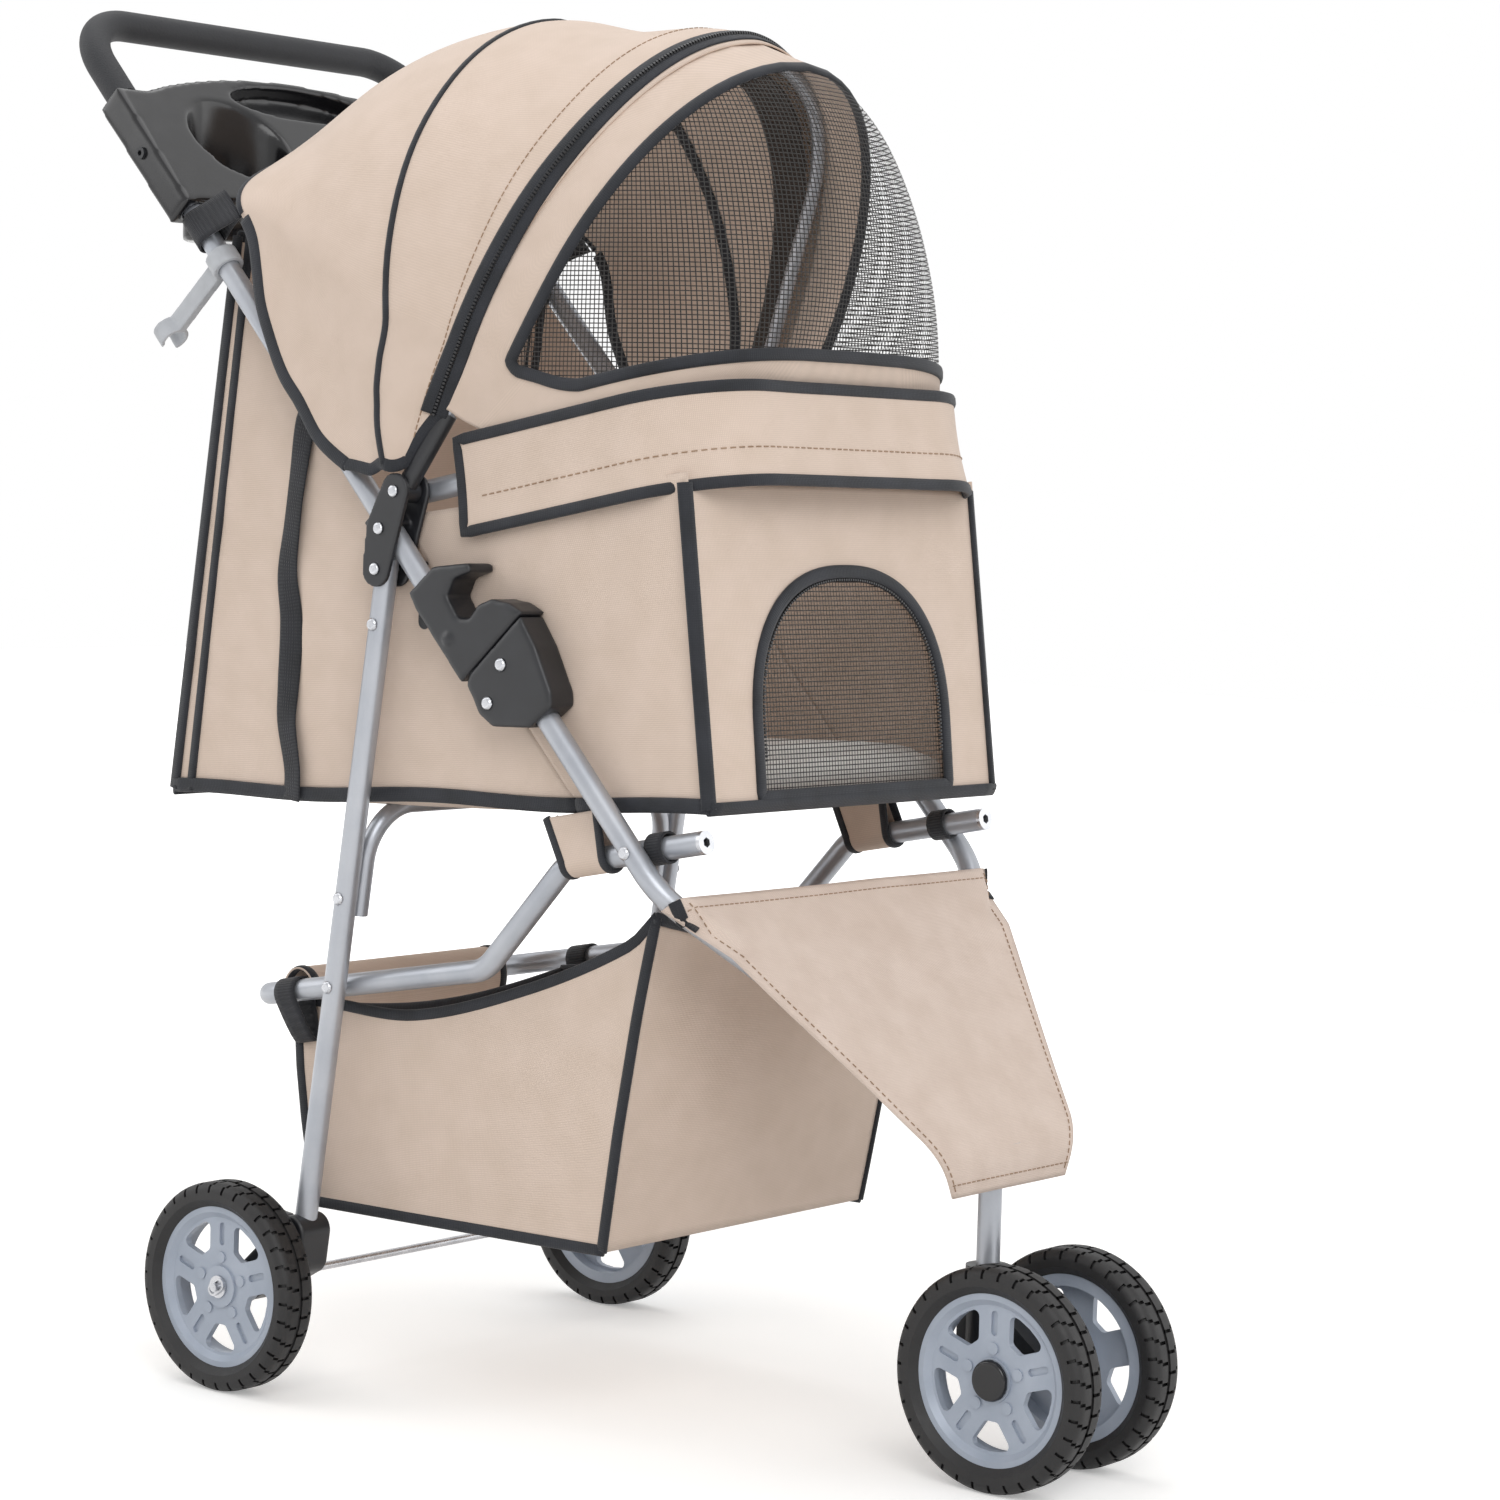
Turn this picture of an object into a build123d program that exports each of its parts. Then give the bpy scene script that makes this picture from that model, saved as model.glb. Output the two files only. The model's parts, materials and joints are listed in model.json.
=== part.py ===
"""Folding three-wheel-layout pet stroller: tube frame, fabric cabin, hood, basket and caster.

Frame: millimetres, +Z up, front towards -Y, origin on the floor under the middle of the length.
The side view (Y, Z) carries the four fold pivots; the upper tube runs through the fold pivot.
"""
import os
from math import atan2, cos, degrees, hypot, radians, sin, tan

from build123d import *

os.makedirs("parts", exist_ok=True)

# Overall places
HALF_LENGTH = 435.8
FRAME_X = 176.0
HANDLE_ANGLE = 47.3
FOLD_PIVOT_Y = -22.5
FOLD_PIVOT_Z = 504.3

# Tubes and fasteners
TUBE_R = 8.0
TUBE_WALL = 1.2
RIVET_R = 2.5
RIVET_HEAD_R = 5.0
RIVET_HEAD_H = 2.2
FIT = 0.05
GAP = 0.4

# Handle, foam grip and cup tray, measured down the upper tube from the push bar
TUBE_TAIL = 8.0
HANDLE_BEND_R = 50.0
GRIP_R = 11.5
TRAY_FOOT_DROP = 200.9
TRAY_LEG_DROP = 84.9
TRAY_TOP_DROP = 54.9
TRAY_CHEEK = 8.0
TRAY_BELOW = 12.0
TRAY_ABOVE = 13.0
CUP_X = 95.0
CUP_DROP = 126.9
CUP_HALF_X = 46.0
CUP_HALF_Y = 27.0
CUP_DEPTH = 52.0
CUP_WALL = 2.5
POCKET_DROP = 78.9
POCKET_HALF_X = 72.0
POCKET_HALF_S = 17.0
POCKET_DEPTH = 15.0
TRAY_SCREW_DROP = 140.9
TRAY_SCREW_R = 4.5
LOOP_DROP = 224.9
LOOP_LENGTH = 19.0
LOOP_WALL = 2.0

# Frame brackets, places along and across the upper tube
LEG_PIVOT_S = 138.2
LEG_PIVOT_DROP = 21.4
BRACKET_MID_S = 156.9
BOW_PIVOT_S = 167.0
BOW_PIVOT_RISE = 27.6
BRACKET_PLATE = 4.0
BRACKET_END_R = 12.5
BRACKET_BLOCK_LOW_S = 152.0
BRACKET_BLOCK_HIGH_S = 172.0
BRACKET_BLOCK_HALF = 11.5

# Rear legs, axle and brackets
LEG_TILT = 8.1
LEG_TOP = 8.0
LEG_FOOT_RISE = 21.4
SEAT_PIVOT_RUN = 299.9
CROSS_PIVOT_RUN = 235.5
LEG_RIVET_RUN = 39.2
AXLE_BACK = 40.4
AXLE_R = 3.0
SOCKET_LENGTH = 20.0
SOCKET_R = 12.5
AXLE_BOSS_R = 14.0
BRACKET_DEEP = 15.0
PEDAL_PIVOT_BACK = 14.0
PEDAL_PIVOT_RISE = 27.0
PEDAL_PIN_R = 3.0
PEDAL_THICK = 12.0
PEDAL_REACH = 48.0
PEDAL_WIDTH = 36.0
CROSS_BAR_R = 6.5
CLIP_WIRE = 1.6
CLIP_SPAN = 17.0
WASHER_R = 8.0
WASHER_THICK = 1.5
CROSS_BAR_FORWARD = 9.5

# Front frame
HOUSING_OFFSET = 26.5
FRONT_PIVOT_RUN = 150.0
FRONT_BEND_RUN = 186.0
FRONT_BEND_R = 60.0
FRONT_TUBE_TOP = 16.0
YOKE_X = 13.0
YOKE_WIDTH = 46.0
YOKE_DEPTH = 26.0
YOKE_HEIGHT = 50.0
CASTER_TRAIL = 42.8
STEM_FOOT_Z = 92.0
HOUSING_WALL = 4.5
PARTING_S = 26.4
LOCK_EDGE_R = 2.0
HOOK_LENGTH = 105.0
HOOK_RISE = 58.0
HOOK_BACK = 2.5
HOOK_PIN_S = 56.4
SLIDER_GAP = 0.4
COVER_THICK = 1.5
COVER_TOP_RUN = 176.0
COVER_HALF_TOP = 170.0
COVER_HALF_FOOT = 67.0
COVER_FOOT_Z = 206.0

# Wheels
WHEEL_R = 75.0
RIM_R = 57.5
RIM_LIP = 8.0
RIM_HALF = 9.85
TYRE_HALF = 15.0
TYRE_SHOULDER = 6.0
DISC_LOW = 1.0
DISC_HIGH = 6.0
HUB_R = 15.0
WINDOW_COUNT = 5
WINDOW_IN_R = 28.0
WINDOW_HALF_ANGLE = 21.0
SPOKE_SLOT_W = 5.0
WINDOW_ROUND = 4.0
BOSS_R = 4.0
BOSS_RING_R = 21.0
BOSS_H = 1.2
REAR_WHEEL_X = 209.4
FRONT_WHEEL_X = 45.6
CASTER_HALF = 13.0
CASTER_SOCKET_R = 15.0
CASTER_SOCKET_TOP = 138.0
HUB_CAP_R = 14.5
HUB_CAP_H = 4.0

# Seat bar
SEAT_X = 158.0
SEAT_TILT = 10.3
SEAT_REAR_RUN = 108.6
SEAT_MID_RUN = 130.0
SEAT_FRONT_TILT = 11.3
SEAT_RISE_RUN = 73.7
SEAT_TIP_RUN = 47.0
SEAT_BEND_R = 30.0
SEAT_REAR_BEND_R = 40.0
CAP_THICK = 3.0

# Cabin
CABIN_HALF = 161.0
PANEL = 2.0
CABIN_FRONT_Y = -196.0
CABIN_FRONT_Z = 443.0
CABIN_REAR_Y = 315.0
CABIN_REAR_Z = 422.0
FRONT_LEAN = 7.6
FRONT_HEIGHT = 214.0
REAR_TOP_DROP = 31.52511
REAR_TOP_RISE = 14.78363
FLOOR_THICK = 3.0
PAD_THICK = 20.0
PAD_CROWN = 6.0
PAD_INSET = 5.0
PAD_DRAW = 5.0
DOOR_HALF = 107.0
DOOR_SIDE = 45.0
DOOR_SILL = 6.0
HOOP_TILT = 11.0
HOOP_FRONT_Y = -176.0
HOOP_BEND_R = 60.0
BAND_BELOW = 35.0
BAND_ABOVE = 30.0
BAND_START = 46.0

# Hood and window, measured round the bow pivot axis
FABRIC = 2.0
BOW_ANGLE = 117.0
BOW_R = 5.0
BOW_WALL = 1.0
BOW_SHOULDER = 126.0
BOW_TOP = 347.0
BOW_TAPER = 12.0
BOW_FOOT = 12.0
SOCKET_TOP = 62.0
SOCKET_BODY_R = 7.1
HOOD_PINCH = 17.0
HOOD_CREST = 9.0
HOOD_BOW_SHOULDER = 118.0
HOOD_DIP_ANGLE = 101.0
HOOD_DIP_TOP = 337.0
HOOD_MID_ANGLE = 84.0
HOOD_MID_SHOULDER = 130.0
HOOD_MID_TOP = 343.0
HOOD_BACK_ANGLE = 64.0
HOOD_BACK_SHOULDER = 168.0
HOOD_BACK_TOP = 347.0
HOOD_REAR_ANGLE = 50.0
HOOD_REAR_SHOULDER = 240.0
HOOD_REAR_TOP = 350.0
CROWN_STEPS = 4
BOW_ROUND = 0.97
HOOD_ROUND = 1.1
HOOD_TENT = 3.0
FLANK_LOW_R = 67.0
FLANK_LOW_ANGLE = 32.0
FLANK_MID_R = 172.0
FLANK_MID_ANGLE = 40.0
WINDOW_CREST_ANGLE = 132.0
WINDOW_FRONT_ANGLE = 147.0
WINDOW_FRONT_TOP = 312.0
WINDOW_FRONT_SHOULDER = 150.0
WINDOW_FOOT_ANGLE = 162.0
WINDOW_FOOT_TOP = 258.0
WINDOW_FOOT_SHOULDER = 186.0
WINDOW_FOOT_R = 74.0
WINDOW_SQUARE = 0.5
WINDOW_FULL = 0.75

# Basket, straps and pulls
BASKET_HALF = 146.0
BASKET_FLOOR_Z = 134.0
BASKET_FRONT_Y = -100.0
BASKET_REAR_Y = 176.0
BASKET_LIP_Z = 262.0
BASKET_FRONT_Z = 364.0
BASKET_LEAN = 41.0
BASKET_FLARE = 23.0
BASKET_HORN = 10.0
BASKET_WALL = 2.0
SEAT_LOOP_RUN = 27.0
SEAT_LOOP_WIDTH = 38.0
CLIP_DROP = 254.9
CLIP_LENGTH = 14.0
CLIP_REACH = 75.0
PULL_LENGTH = 44.0
PULL_WIDTH = 11.0
PULL_THICK = 1.4

SIDES = (("right", -1), ("left", 1))

# Directions of the upper tube in the side view
ALONG = (cos(radians(HANDLE_ANGLE)), sin(radians(HANDLE_ANGLE)))
ACROSS = (-sin(radians(HANDLE_ANGLE)), cos(radians(HANDLE_ANGLE)))


def tube_point(s, v=0.0):
    """Side-view point at s along the upper tube and v across it."""
    return (FOLD_PIVOT_Y + s * ALONG[0] + v * ACROSS[0], FOLD_PIVOT_Z + s * ALONG[1] + v * ACROSS[1])


def away(point, distance, angle):
    """Side-view point at a distance and an angle, counted from +Y towards +Z."""
    return (point[0] + distance * cos(radians(angle)), point[1] + distance * sin(radians(angle)))


# Pivots in the side view
LEG_PIVOT = tube_point(LEG_PIVOT_S, -LEG_PIVOT_DROP)
BOW_PIVOT = tube_point(BOW_PIVOT_S, BOW_PIVOT_RISE)
BRACKET_MID = tube_point(BRACKET_MID_S)
FRONT_PIVOT = tube_point(-FRONT_PIVOT_RUN, HOUSING_OFFSET)
HOUSING_RIVET = tube_point(12.0, HOUSING_OFFSET)
LEG_ANGLE = LEG_TILT - 90.0
SEAT_PIVOT = away(LEG_PIVOT, SEAT_PIVOT_RUN, LEG_ANGLE)
CROSS_PIVOT = away(LEG_PIVOT, CROSS_PIVOT_RUN, LEG_ANGLE)
LEG_RIVET = away(LEG_PIVOT, LEG_RIVET_RUN, LEG_ANGLE)
LEG_LENGTH = (LEG_PIVOT[1] - WHEEL_R - LEG_FOOT_RISE) / cos(radians(LEG_TILT))
LEG_FOOT = away(LEG_PIVOT, LEG_LENGTH, LEG_ANGLE)
REAR_AXLE_Y = LEG_FOOT[0] + AXLE_BACK
CASTER_AXLE_Y = WHEEL_R - HALF_LENGTH
STEM_Y = CASTER_AXLE_Y + CASTER_TRAIL
HANDLE_Y = HALF_LENGTH - GRIP_R
HANDLE_S = (HANDLE_Y - FOLD_PIVOT_Y) / ALONG[0]
TRAY_FOOT_S = HANDLE_S - TRAY_FOOT_DROP
TRAY_LEG_TOP_S = HANDLE_S - TRAY_LEG_DROP
TRAY_TOP_S = HANDLE_S - TRAY_TOP_DROP
CUP_S = HANDLE_S - CUP_DROP
POCKET_S = HANDLE_S - POCKET_DROP
TRAY_SCREW_S = HANDLE_S - TRAY_SCREW_DROP
LOOP_S = HANDLE_S - LOOP_DROP
CLIP_S = HANDLE_S - CLIP_DROP
TRAY_HALF_WIDTH = FRAME_X + TUBE_R + TRAY_CHEEK

# The cabin's rear panel hangs from just under the tray, so its lean and height follow the tray
REAR_TOP = tube_point(TRAY_FOOT_S - REAR_TOP_DROP, REAR_TOP_RISE)
REAR_LEAN = degrees(atan2(CABIN_REAR_Y - REAR_TOP[0], REAR_TOP[1] - CABIN_REAR_Z))
REAR_HEIGHT = (REAR_TOP[1] - CABIN_REAR_Z) / cos(radians(REAR_LEAN))

# Widths across the frame, from the tube planes outwards and inwards
PLATE_IN = FRAME_X - TUBE_R - GAP
PLATE_OUT = FRAME_X + TUBE_R + GAP
HOOP_X = PLATE_IN - BRACKET_PLATE - TUBE_R - GAP


def outward(side, x):
    """Plane at |X| = x facing away from the middle; its sketch points are (side * y, z)."""
    return Plane(origin=(side * x, 0, 0), x_dir=(0, side, 0), z_dir=(side, 0, 0))


def outward_tube(side, x):
    """The same plane with points (side * s, v), along and across the upper tube."""
    return Plane(
        origin=(side * x, FOLD_PIVOT_Y, FOLD_PIVOT_Z),
        x_dir=(0, side * ALONG[0], side * ALONG[1]),
        z_dir=(side, 0, 0),
    )


def tube_plane(v):
    """Plane through both upper tubes, moved v across; its sketch points are (x, s)."""
    y, z = tube_point(0.0, v)
    return Plane(origin=(0, y, z), x_dir=(1, 0, 0), z_dir=(0, ACROSS[0], ACROSS[1]))


def ring_plane(x, s):
    """Plane square to an upper tube at s; its second axis points to the rear and down."""
    y, z = tube_point(s)
    return Plane(origin=(x, y, z), x_dir=(1, 0, 0), z_dir=(0, ALONG[0], ALONG[1]))


def fan_plane(angle):
    """Plane through the bow pivot axis at an angle; its sketch points are (x, radius)."""
    a = radians(angle)
    return Plane(origin=(0, BOW_PIVOT[0], BOW_PIVOT[1]), x_dir=(1, 0, 0), z_dir=(0, -sin(a), cos(a)))


def place(x, point):
    """Point in space from X and a side-view point."""
    return (x, point[0], point[1])


def bent_tube(points, radii, radius, wall, holes=()):
    """Hollow round tube along straight runs joined by arcs, with rivet holes along X on both sides."""
    with BuildPart() as tube:
        with BuildLine() as route:
            if len(points) > 2:
                FilletPolyline(*points, radius=radii)
            else:
                Line(*points)
        with BuildSketch(Plane(origin=route.line @ 0, z_dir=route.line % 0)):
            Circle(radius)
            Circle(radius - wall, mode=Mode.SUBTRACT)
        sweep()
        for x, point in holes:
            with BuildSketch(Plane.YZ.offset(x - 2 * radius)):
                with Locations(point):
                    Circle(RIVET_R + FIT)
            extrude(amount=4 * radius, mode=Mode.SUBTRACT)
    return tube


def cross_hole(point, radius, inner, outer, side):
    """Round hole along X through the current part."""
    with BuildSketch(outward(side, inner)) as hole:
        with Locations((side * point[0], point[1])):
            Circle(radius)
    extrude(hole.sketch, amount=outer - inner, mode=Mode.SUBTRACT)


def rivet(point, inner, outer, side):
    """Shank along X between two widths, with a domed head on the outside."""
    with BuildSketch(outward(side, inner)) as shank:
        with Locations((side * point[0], point[1])):
            Circle(RIVET_R)
    extrude(shank.sketch, amount=outer - inner)
    with BuildSketch(outward(side, outer)) as head:
        with Locations((side * point[0], point[1])):
            Circle(RIVET_HEAD_R)
    extrude(head.sketch, amount=RIVET_HEAD_H, taper=35)


def save(piece, name):
    """Label a finished piece and write it."""
    piece.part.label = name
    export_step(piece.part, "parts/" + name + ".step")


# Rear legs: straight tubes pinned in the frame brackets, holed for their rivets
for name, side in SIDES:
    leg_top = away(LEG_PIVOT, -LEG_TOP, LEG_ANGLE)
    x = side * FRAME_X
    leg_holes = [(x, LEG_PIVOT), (x, SEAT_PIVOT), (x, CROSS_PIVOT), (x, LEG_RIVET)]
    leg = bent_tube([place(x, leg_top), place(x, LEG_FOOT)], 0, TUBE_R, TUBE_WALL, leg_holes)
    save(leg, "rear_leg_" + name)

# Rear cross bar: inverted U from leg to leg that carries the rear of the cabin floor
CROSS_X = FRAME_X - TUBE_R - CROSS_BAR_R - GAP
FLOOR_SLOPE = (CABIN_REAR_Z - CABIN_FRONT_Z) / (CABIN_REAR_Y - CABIN_FRONT_Y)
CROSS_BAR_Y = CROSS_PIVOT[0] - CROSS_BAR_FORWARD
CROSS_BAR_Z = CABIN_FRONT_Z + FLOOR_SLOPE * (CROSS_BAR_Y - CABIN_FRONT_Y) - CROSS_BAR_R - GAP
cross_top = (CROSS_BAR_Y, CROSS_BAR_Z)
cross_angle = degrees(atan2(cross_top[1] - CROSS_PIVOT[1], cross_top[0] - CROSS_PIVOT[0]))
cross_end = away(CROSS_PIVOT, -2 * CROSS_BAR_R, cross_angle)
cross_bar = bent_tube(
    [
        place(-CROSS_X, cross_end),
        place(-CROSS_X, cross_top),
        place(CROSS_X, cross_top),
        place(CROSS_X, cross_end),
    ],
    SEAT_REAR_BEND_R,
    CROSS_BAR_R,
    TUBE_WALL,
    [(-CROSS_X, CROSS_PIVOT), (CROSS_X, CROSS_PIVOT)],
)
save(cross_bar, "rear_cross_bar")

# Rear leg rivets: seat pivot, cross bar pivot and the small one under the bracket
with BuildPart() as rear_rivets:
    for name, side in SIDES:
        rivet(SEAT_PIVOT, SEAT_X - TUBE_R, FRAME_X + TUBE_R, side)
        rivet(CROSS_PIVOT, CROSS_X - CROSS_BAR_R, FRAME_X + TUBE_R, side)
        rivet(LEG_RIVET, FRAME_X - TUBE_R, FRAME_X + TUBE_R, side)
save(rear_rivets, "rear_rivets")

# Rear wheel brackets: a socket on each leg, an axle boss behind it and the pedal pin
REAR_AXLE = (REAR_AXLE_Y, WHEEL_R)
PEDAL_PIVOT = (REAR_AXLE_Y - PEDAL_PIVOT_BACK, WHEEL_R + PEDAL_PIVOT_RISE)
BRACKET_IN = FRAME_X - BRACKET_DEEP
BRACKET_OUT = FRAME_X + BRACKET_DEEP
for name, side in SIDES:
    socket_top = away(LEG_FOOT, -SOCKET_LENGTH, LEG_ANGLE)
    with BuildPart() as bracket:
        with BuildSketch(outward(side, BRACKET_IN)):
            with Locations((side * LEG_FOOT[0], LEG_FOOT[1]), (side * socket_top[0], socket_top[1])):
                Circle(SOCKET_R)
            with Locations((side * REAR_AXLE[0], REAR_AXLE[1])):
                Circle(AXLE_BOSS_R)
            make_hull()
        extrude(amount=BRACKET_OUT - BRACKET_IN)
        edges = bracket.faces().filter_by(Axis.X).edges()
        fillet(edges, radius=3.0)
        leg_up = (0, -sin(radians(LEG_TILT)), cos(radians(LEG_TILT)))
        with BuildSketch(Plane(origin=place(side * FRAME_X, LEG_FOOT), z_dir=leg_up)):
            Circle(TUBE_R + FIT)
        extrude(amount=SOCKET_LENGTH + 2 * SOCKET_R, mode=Mode.SUBTRACT)
        cross_hole(REAR_AXLE, AXLE_R + FIT, BRACKET_IN - 1, BRACKET_OUT + 1, side)
        with BuildSketch(outward(side, BRACKET_IN - PEDAL_THICK - 2 * GAP)):
            with Locations((side * PEDAL_PIVOT[0], PEDAL_PIVOT[1])):
                Circle(PEDAL_PIN_R)
        extrude(amount=PEDAL_THICK + 2 * GAP + 2.0)
    save(bracket, "rear_bracket_" + name)

# Brake pedals: a lever on the bracket's pin with a foot pad behind the wheel's hub
for name, side in SIDES:
    pedal_tip = (PEDAL_PIVOT[0] + PEDAL_REACH, PEDAL_PIVOT[1] + 8.0)
    lever_in = BRACKET_IN - PEDAL_THICK - GAP
    with BuildPart() as pedal:
        with BuildSketch(outward(side, lever_in)):
            with Locations((side * PEDAL_PIVOT[0], PEDAL_PIVOT[1])):
                Circle(8.5)
            with Locations((side * pedal_tip[0], pedal_tip[1])):
                Circle(5.0)
            make_hull()
        extrude(amount=PEDAL_THICK)
        with BuildSketch(outward(side, BRACKET_IN - GAP - PEDAL_WIDTH)):
            with Locations((side * pedal_tip[0], pedal_tip[1])):
                SlotOverall(34.0, 10.0, rotation=side * 8.0)
        extrude(amount=PEDAL_WIDTH)
        cross_hole(PEDAL_PIVOT, PEDAL_PIN_R + FIT, lever_in - 1, BRACKET_IN, side)
    save(pedal, "brake_pedal_" + name)

# Rear axle rod and the washer and spring clip on each end
HUB_IN = REAR_WHEEL_X - BRACKET_OUT - GAP
HUB_OUT = 8.0
REAR_HUB_END = REAR_WHEEL_X + HUB_OUT
AXLE_END = REAR_HUB_END + 6.0
with BuildPart() as rear_axle:
    with BuildSketch(Plane.YZ.offset(-AXLE_END)):
        with Locations(REAR_AXLE):
            Circle(AXLE_R)
    extrude(amount=2 * AXLE_END)
save(rear_axle, "rear_axle")

with BuildPart() as axle_clips:
    for name, side in SIDES:
        with BuildSketch(outward(side, REAR_HUB_END + GAP)):
            with Locations((side * REAR_AXLE[0], REAR_AXLE[1])):
                Circle(WASHER_R)
                Circle(AXLE_R + FIT, mode=Mode.SUBTRACT)
        extrude(amount=WASHER_THICK)
        clip_bore = 2 * (AXLE_R + FIT)
        with BuildSketch(outward(side, REAR_HUB_END + GAP + WASHER_THICK)):
            with Locations((side * REAR_AXLE[0], REAR_AXLE[1])):
                SlotOverall(CLIP_SPAN, clip_bore + 2 * CLIP_WIRE, rotation=35)
                SlotOverall(CLIP_SPAN - 2 * CLIP_WIRE, clip_bore, rotation=35, mode=Mode.SUBTRACT)
        extrude(amount=CLIP_WIRE)
save(axle_clips, "axle_clips")

# Handle tube: both upper side tubes and the push bar in one bend
handle_foot = tube_point(-TUBE_TAIL)
handle_top = tube_point(HANDLE_S)
handle_route = [
    place(-FRAME_X, handle_foot),
    place(-FRAME_X, handle_top),
    place(FRAME_X, handle_top),
    place(FRAME_X, handle_foot),
]
handle_holes = [(x, hole) for x in (-FRAME_X, FRAME_X) for hole in (tube_point(0.0), BRACKET_MID)]
handle_tube = bent_tube(handle_route, HANDLE_BEND_R, TUBE_R, TUBE_WALL, handle_holes)
save(handle_tube, "handle_tube")

# Foam grip over the push bar and the tops of its legs
grip_foot = tube_point(TRAY_LEG_TOP_S + 2 * GAP)
handle_grip = bent_tube(
    [
        place(-FRAME_X, grip_foot),
        place(-FRAME_X, handle_top),
        place(FRAME_X, handle_top),
        place(FRAME_X, grip_foot),
    ],
    HANDLE_BEND_R,
    GRIP_R,
    GRIP_R - TUBE_R - FIT,
)
save(handle_grip, "handle_grip")

# Cup tray: a slab in the plane of the tubes with upright cups and a shallow pocket
TRAY_ARCH_X = FRAME_X - GRIP_R - 2 * GAP
CUP_PLACE = tube_point(CUP_S, TRAY_ABOVE)
CUP_FLOOR_Z = CUP_PLACE[1] - CUP_DEPTH - CUP_HALF_Y
with BuildPart() as cup_tray:
    with BuildSketch(Plane.XY.offset(CUP_FLOOR_Z)):
        with Locations((-CUP_X, CUP_PLACE[0]), (CUP_X, CUP_PLACE[0])):
            Ellipse(CUP_HALF_X + CUP_WALL, CUP_HALF_Y + CUP_WALL)
    extrude(amount=4 * CUP_DEPTH)
    split(bisect_by=tube_plane(TRAY_ABOVE), keep=Keep.BOTTOM)
    with BuildSketch(tube_plane(-TRAY_BELOW)):
        with BuildLine():
            Line((-TRAY_HALF_WIDTH, TRAY_LEG_TOP_S), (-TRAY_HALF_WIDTH, TRAY_FOOT_S))
            ThreePointArc(
                (-TRAY_HALF_WIDTH, TRAY_FOOT_S),
                (0, TRAY_FOOT_S + TRAY_BELOW),
                (TRAY_HALF_WIDTH, TRAY_FOOT_S),
            )
            Line((TRAY_HALF_WIDTH, TRAY_FOOT_S), (TRAY_HALF_WIDTH, TRAY_LEG_TOP_S))
            Line((TRAY_HALF_WIDTH, TRAY_LEG_TOP_S), (TRAY_ARCH_X, TRAY_LEG_TOP_S))
            ThreePointArc((TRAY_ARCH_X, TRAY_LEG_TOP_S), (0, TRAY_TOP_S), (-TRAY_ARCH_X, TRAY_LEG_TOP_S))
            Line((-TRAY_ARCH_X, TRAY_LEG_TOP_S), (-TRAY_HALF_WIDTH, TRAY_LEG_TOP_S))
        make_face()
    extrude(amount=TRAY_BELOW + TRAY_ABOVE)
    with BuildSketch(Plane.XY.offset(CUP_FLOOR_Z + CUP_WALL)):
        with Locations((-CUP_X, CUP_PLACE[0]), (CUP_X, CUP_PLACE[0])):
            Ellipse(CUP_HALF_X, CUP_HALF_Y)
    extrude(amount=4 * CUP_DEPTH, mode=Mode.SUBTRACT)
    with BuildSketch(tube_plane(TRAY_ABOVE - POCKET_DEPTH)):
        with Locations((0, POCKET_S)):
            Ellipse(POCKET_HALF_X, POCKET_HALF_S)
    extrude(amount=2 * POCKET_DEPTH, mode=Mode.SUBTRACT)
    for name, side in SIDES:
        with BuildSketch(ring_plane(side * FRAME_X, TRAY_FOOT_S - TRAY_BELOW)):
            Circle(TUBE_R + FIT)
        extrude(amount=TRAY_TOP_S - TRAY_FOOT_S + 2 * TRAY_BELOW, mode=Mode.SUBTRACT)
save(cup_tray, "cup_tray")

with BuildPart() as tray_screws:
    for name, side in SIDES:
        screw = tube_point(TRAY_SCREW_S)
        with BuildSketch(outward(side, TRAY_HALF_WIDTH)):
            with Locations((side * screw[0], screw[1])):
                Circle(TRAY_SCREW_R)
                RegularPolygon(2.2, 6, mode=Mode.SUBTRACT)
        extrude(amount=2.0)
save(tray_screws, "tray_screws")

# Frame brackets: two plates round the upper tube, joined by a block the tube runs through
for name, side in SIDES:
    with BuildPart() as bracket:
        for x in (PLATE_IN - BRACKET_PLATE, PLATE_OUT):
            with BuildSketch(outward_tube(side, x)):
                with Locations(
                    (side * BOW_PIVOT_S, BOW_PIVOT_RISE),
                    (side * BRACKET_MID_S, 0),
                    (side * LEG_PIVOT_S, -LEG_PIVOT_DROP),
                ):
                    Circle(BRACKET_END_R)
                make_hull()
            extrude(amount=BRACKET_PLATE)
        with BuildSketch(outward_tube(side, PLATE_IN)):
            block_mid = (BRACKET_BLOCK_LOW_S + BRACKET_BLOCK_HIGH_S) / 2
            with Locations((side * block_mid, 0)):
                Rectangle(BRACKET_BLOCK_HIGH_S - BRACKET_BLOCK_LOW_S, 2 * BRACKET_BLOCK_HALF)
        extrude(amount=PLATE_OUT - PLATE_IN)
        with BuildSketch(ring_plane(side * FRAME_X, BRACKET_BLOCK_LOW_S - BRACKET_PLATE)):
            Circle(TUBE_R + FIT)
        extrude(amount=BRACKET_BLOCK_HIGH_S - BRACKET_BLOCK_LOW_S + 2 * BRACKET_PLATE, mode=Mode.SUBTRACT)
        for hole in (LEG_PIVOT, BRACKET_MID, BOW_PIVOT):
            cross_hole(hole, RIVET_R + FIT, PLATE_IN - 2 * BRACKET_PLATE, PLATE_OUT + 2 * BRACKET_PLATE, side)
    save(bracket, "frame_bracket_" + name)

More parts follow.
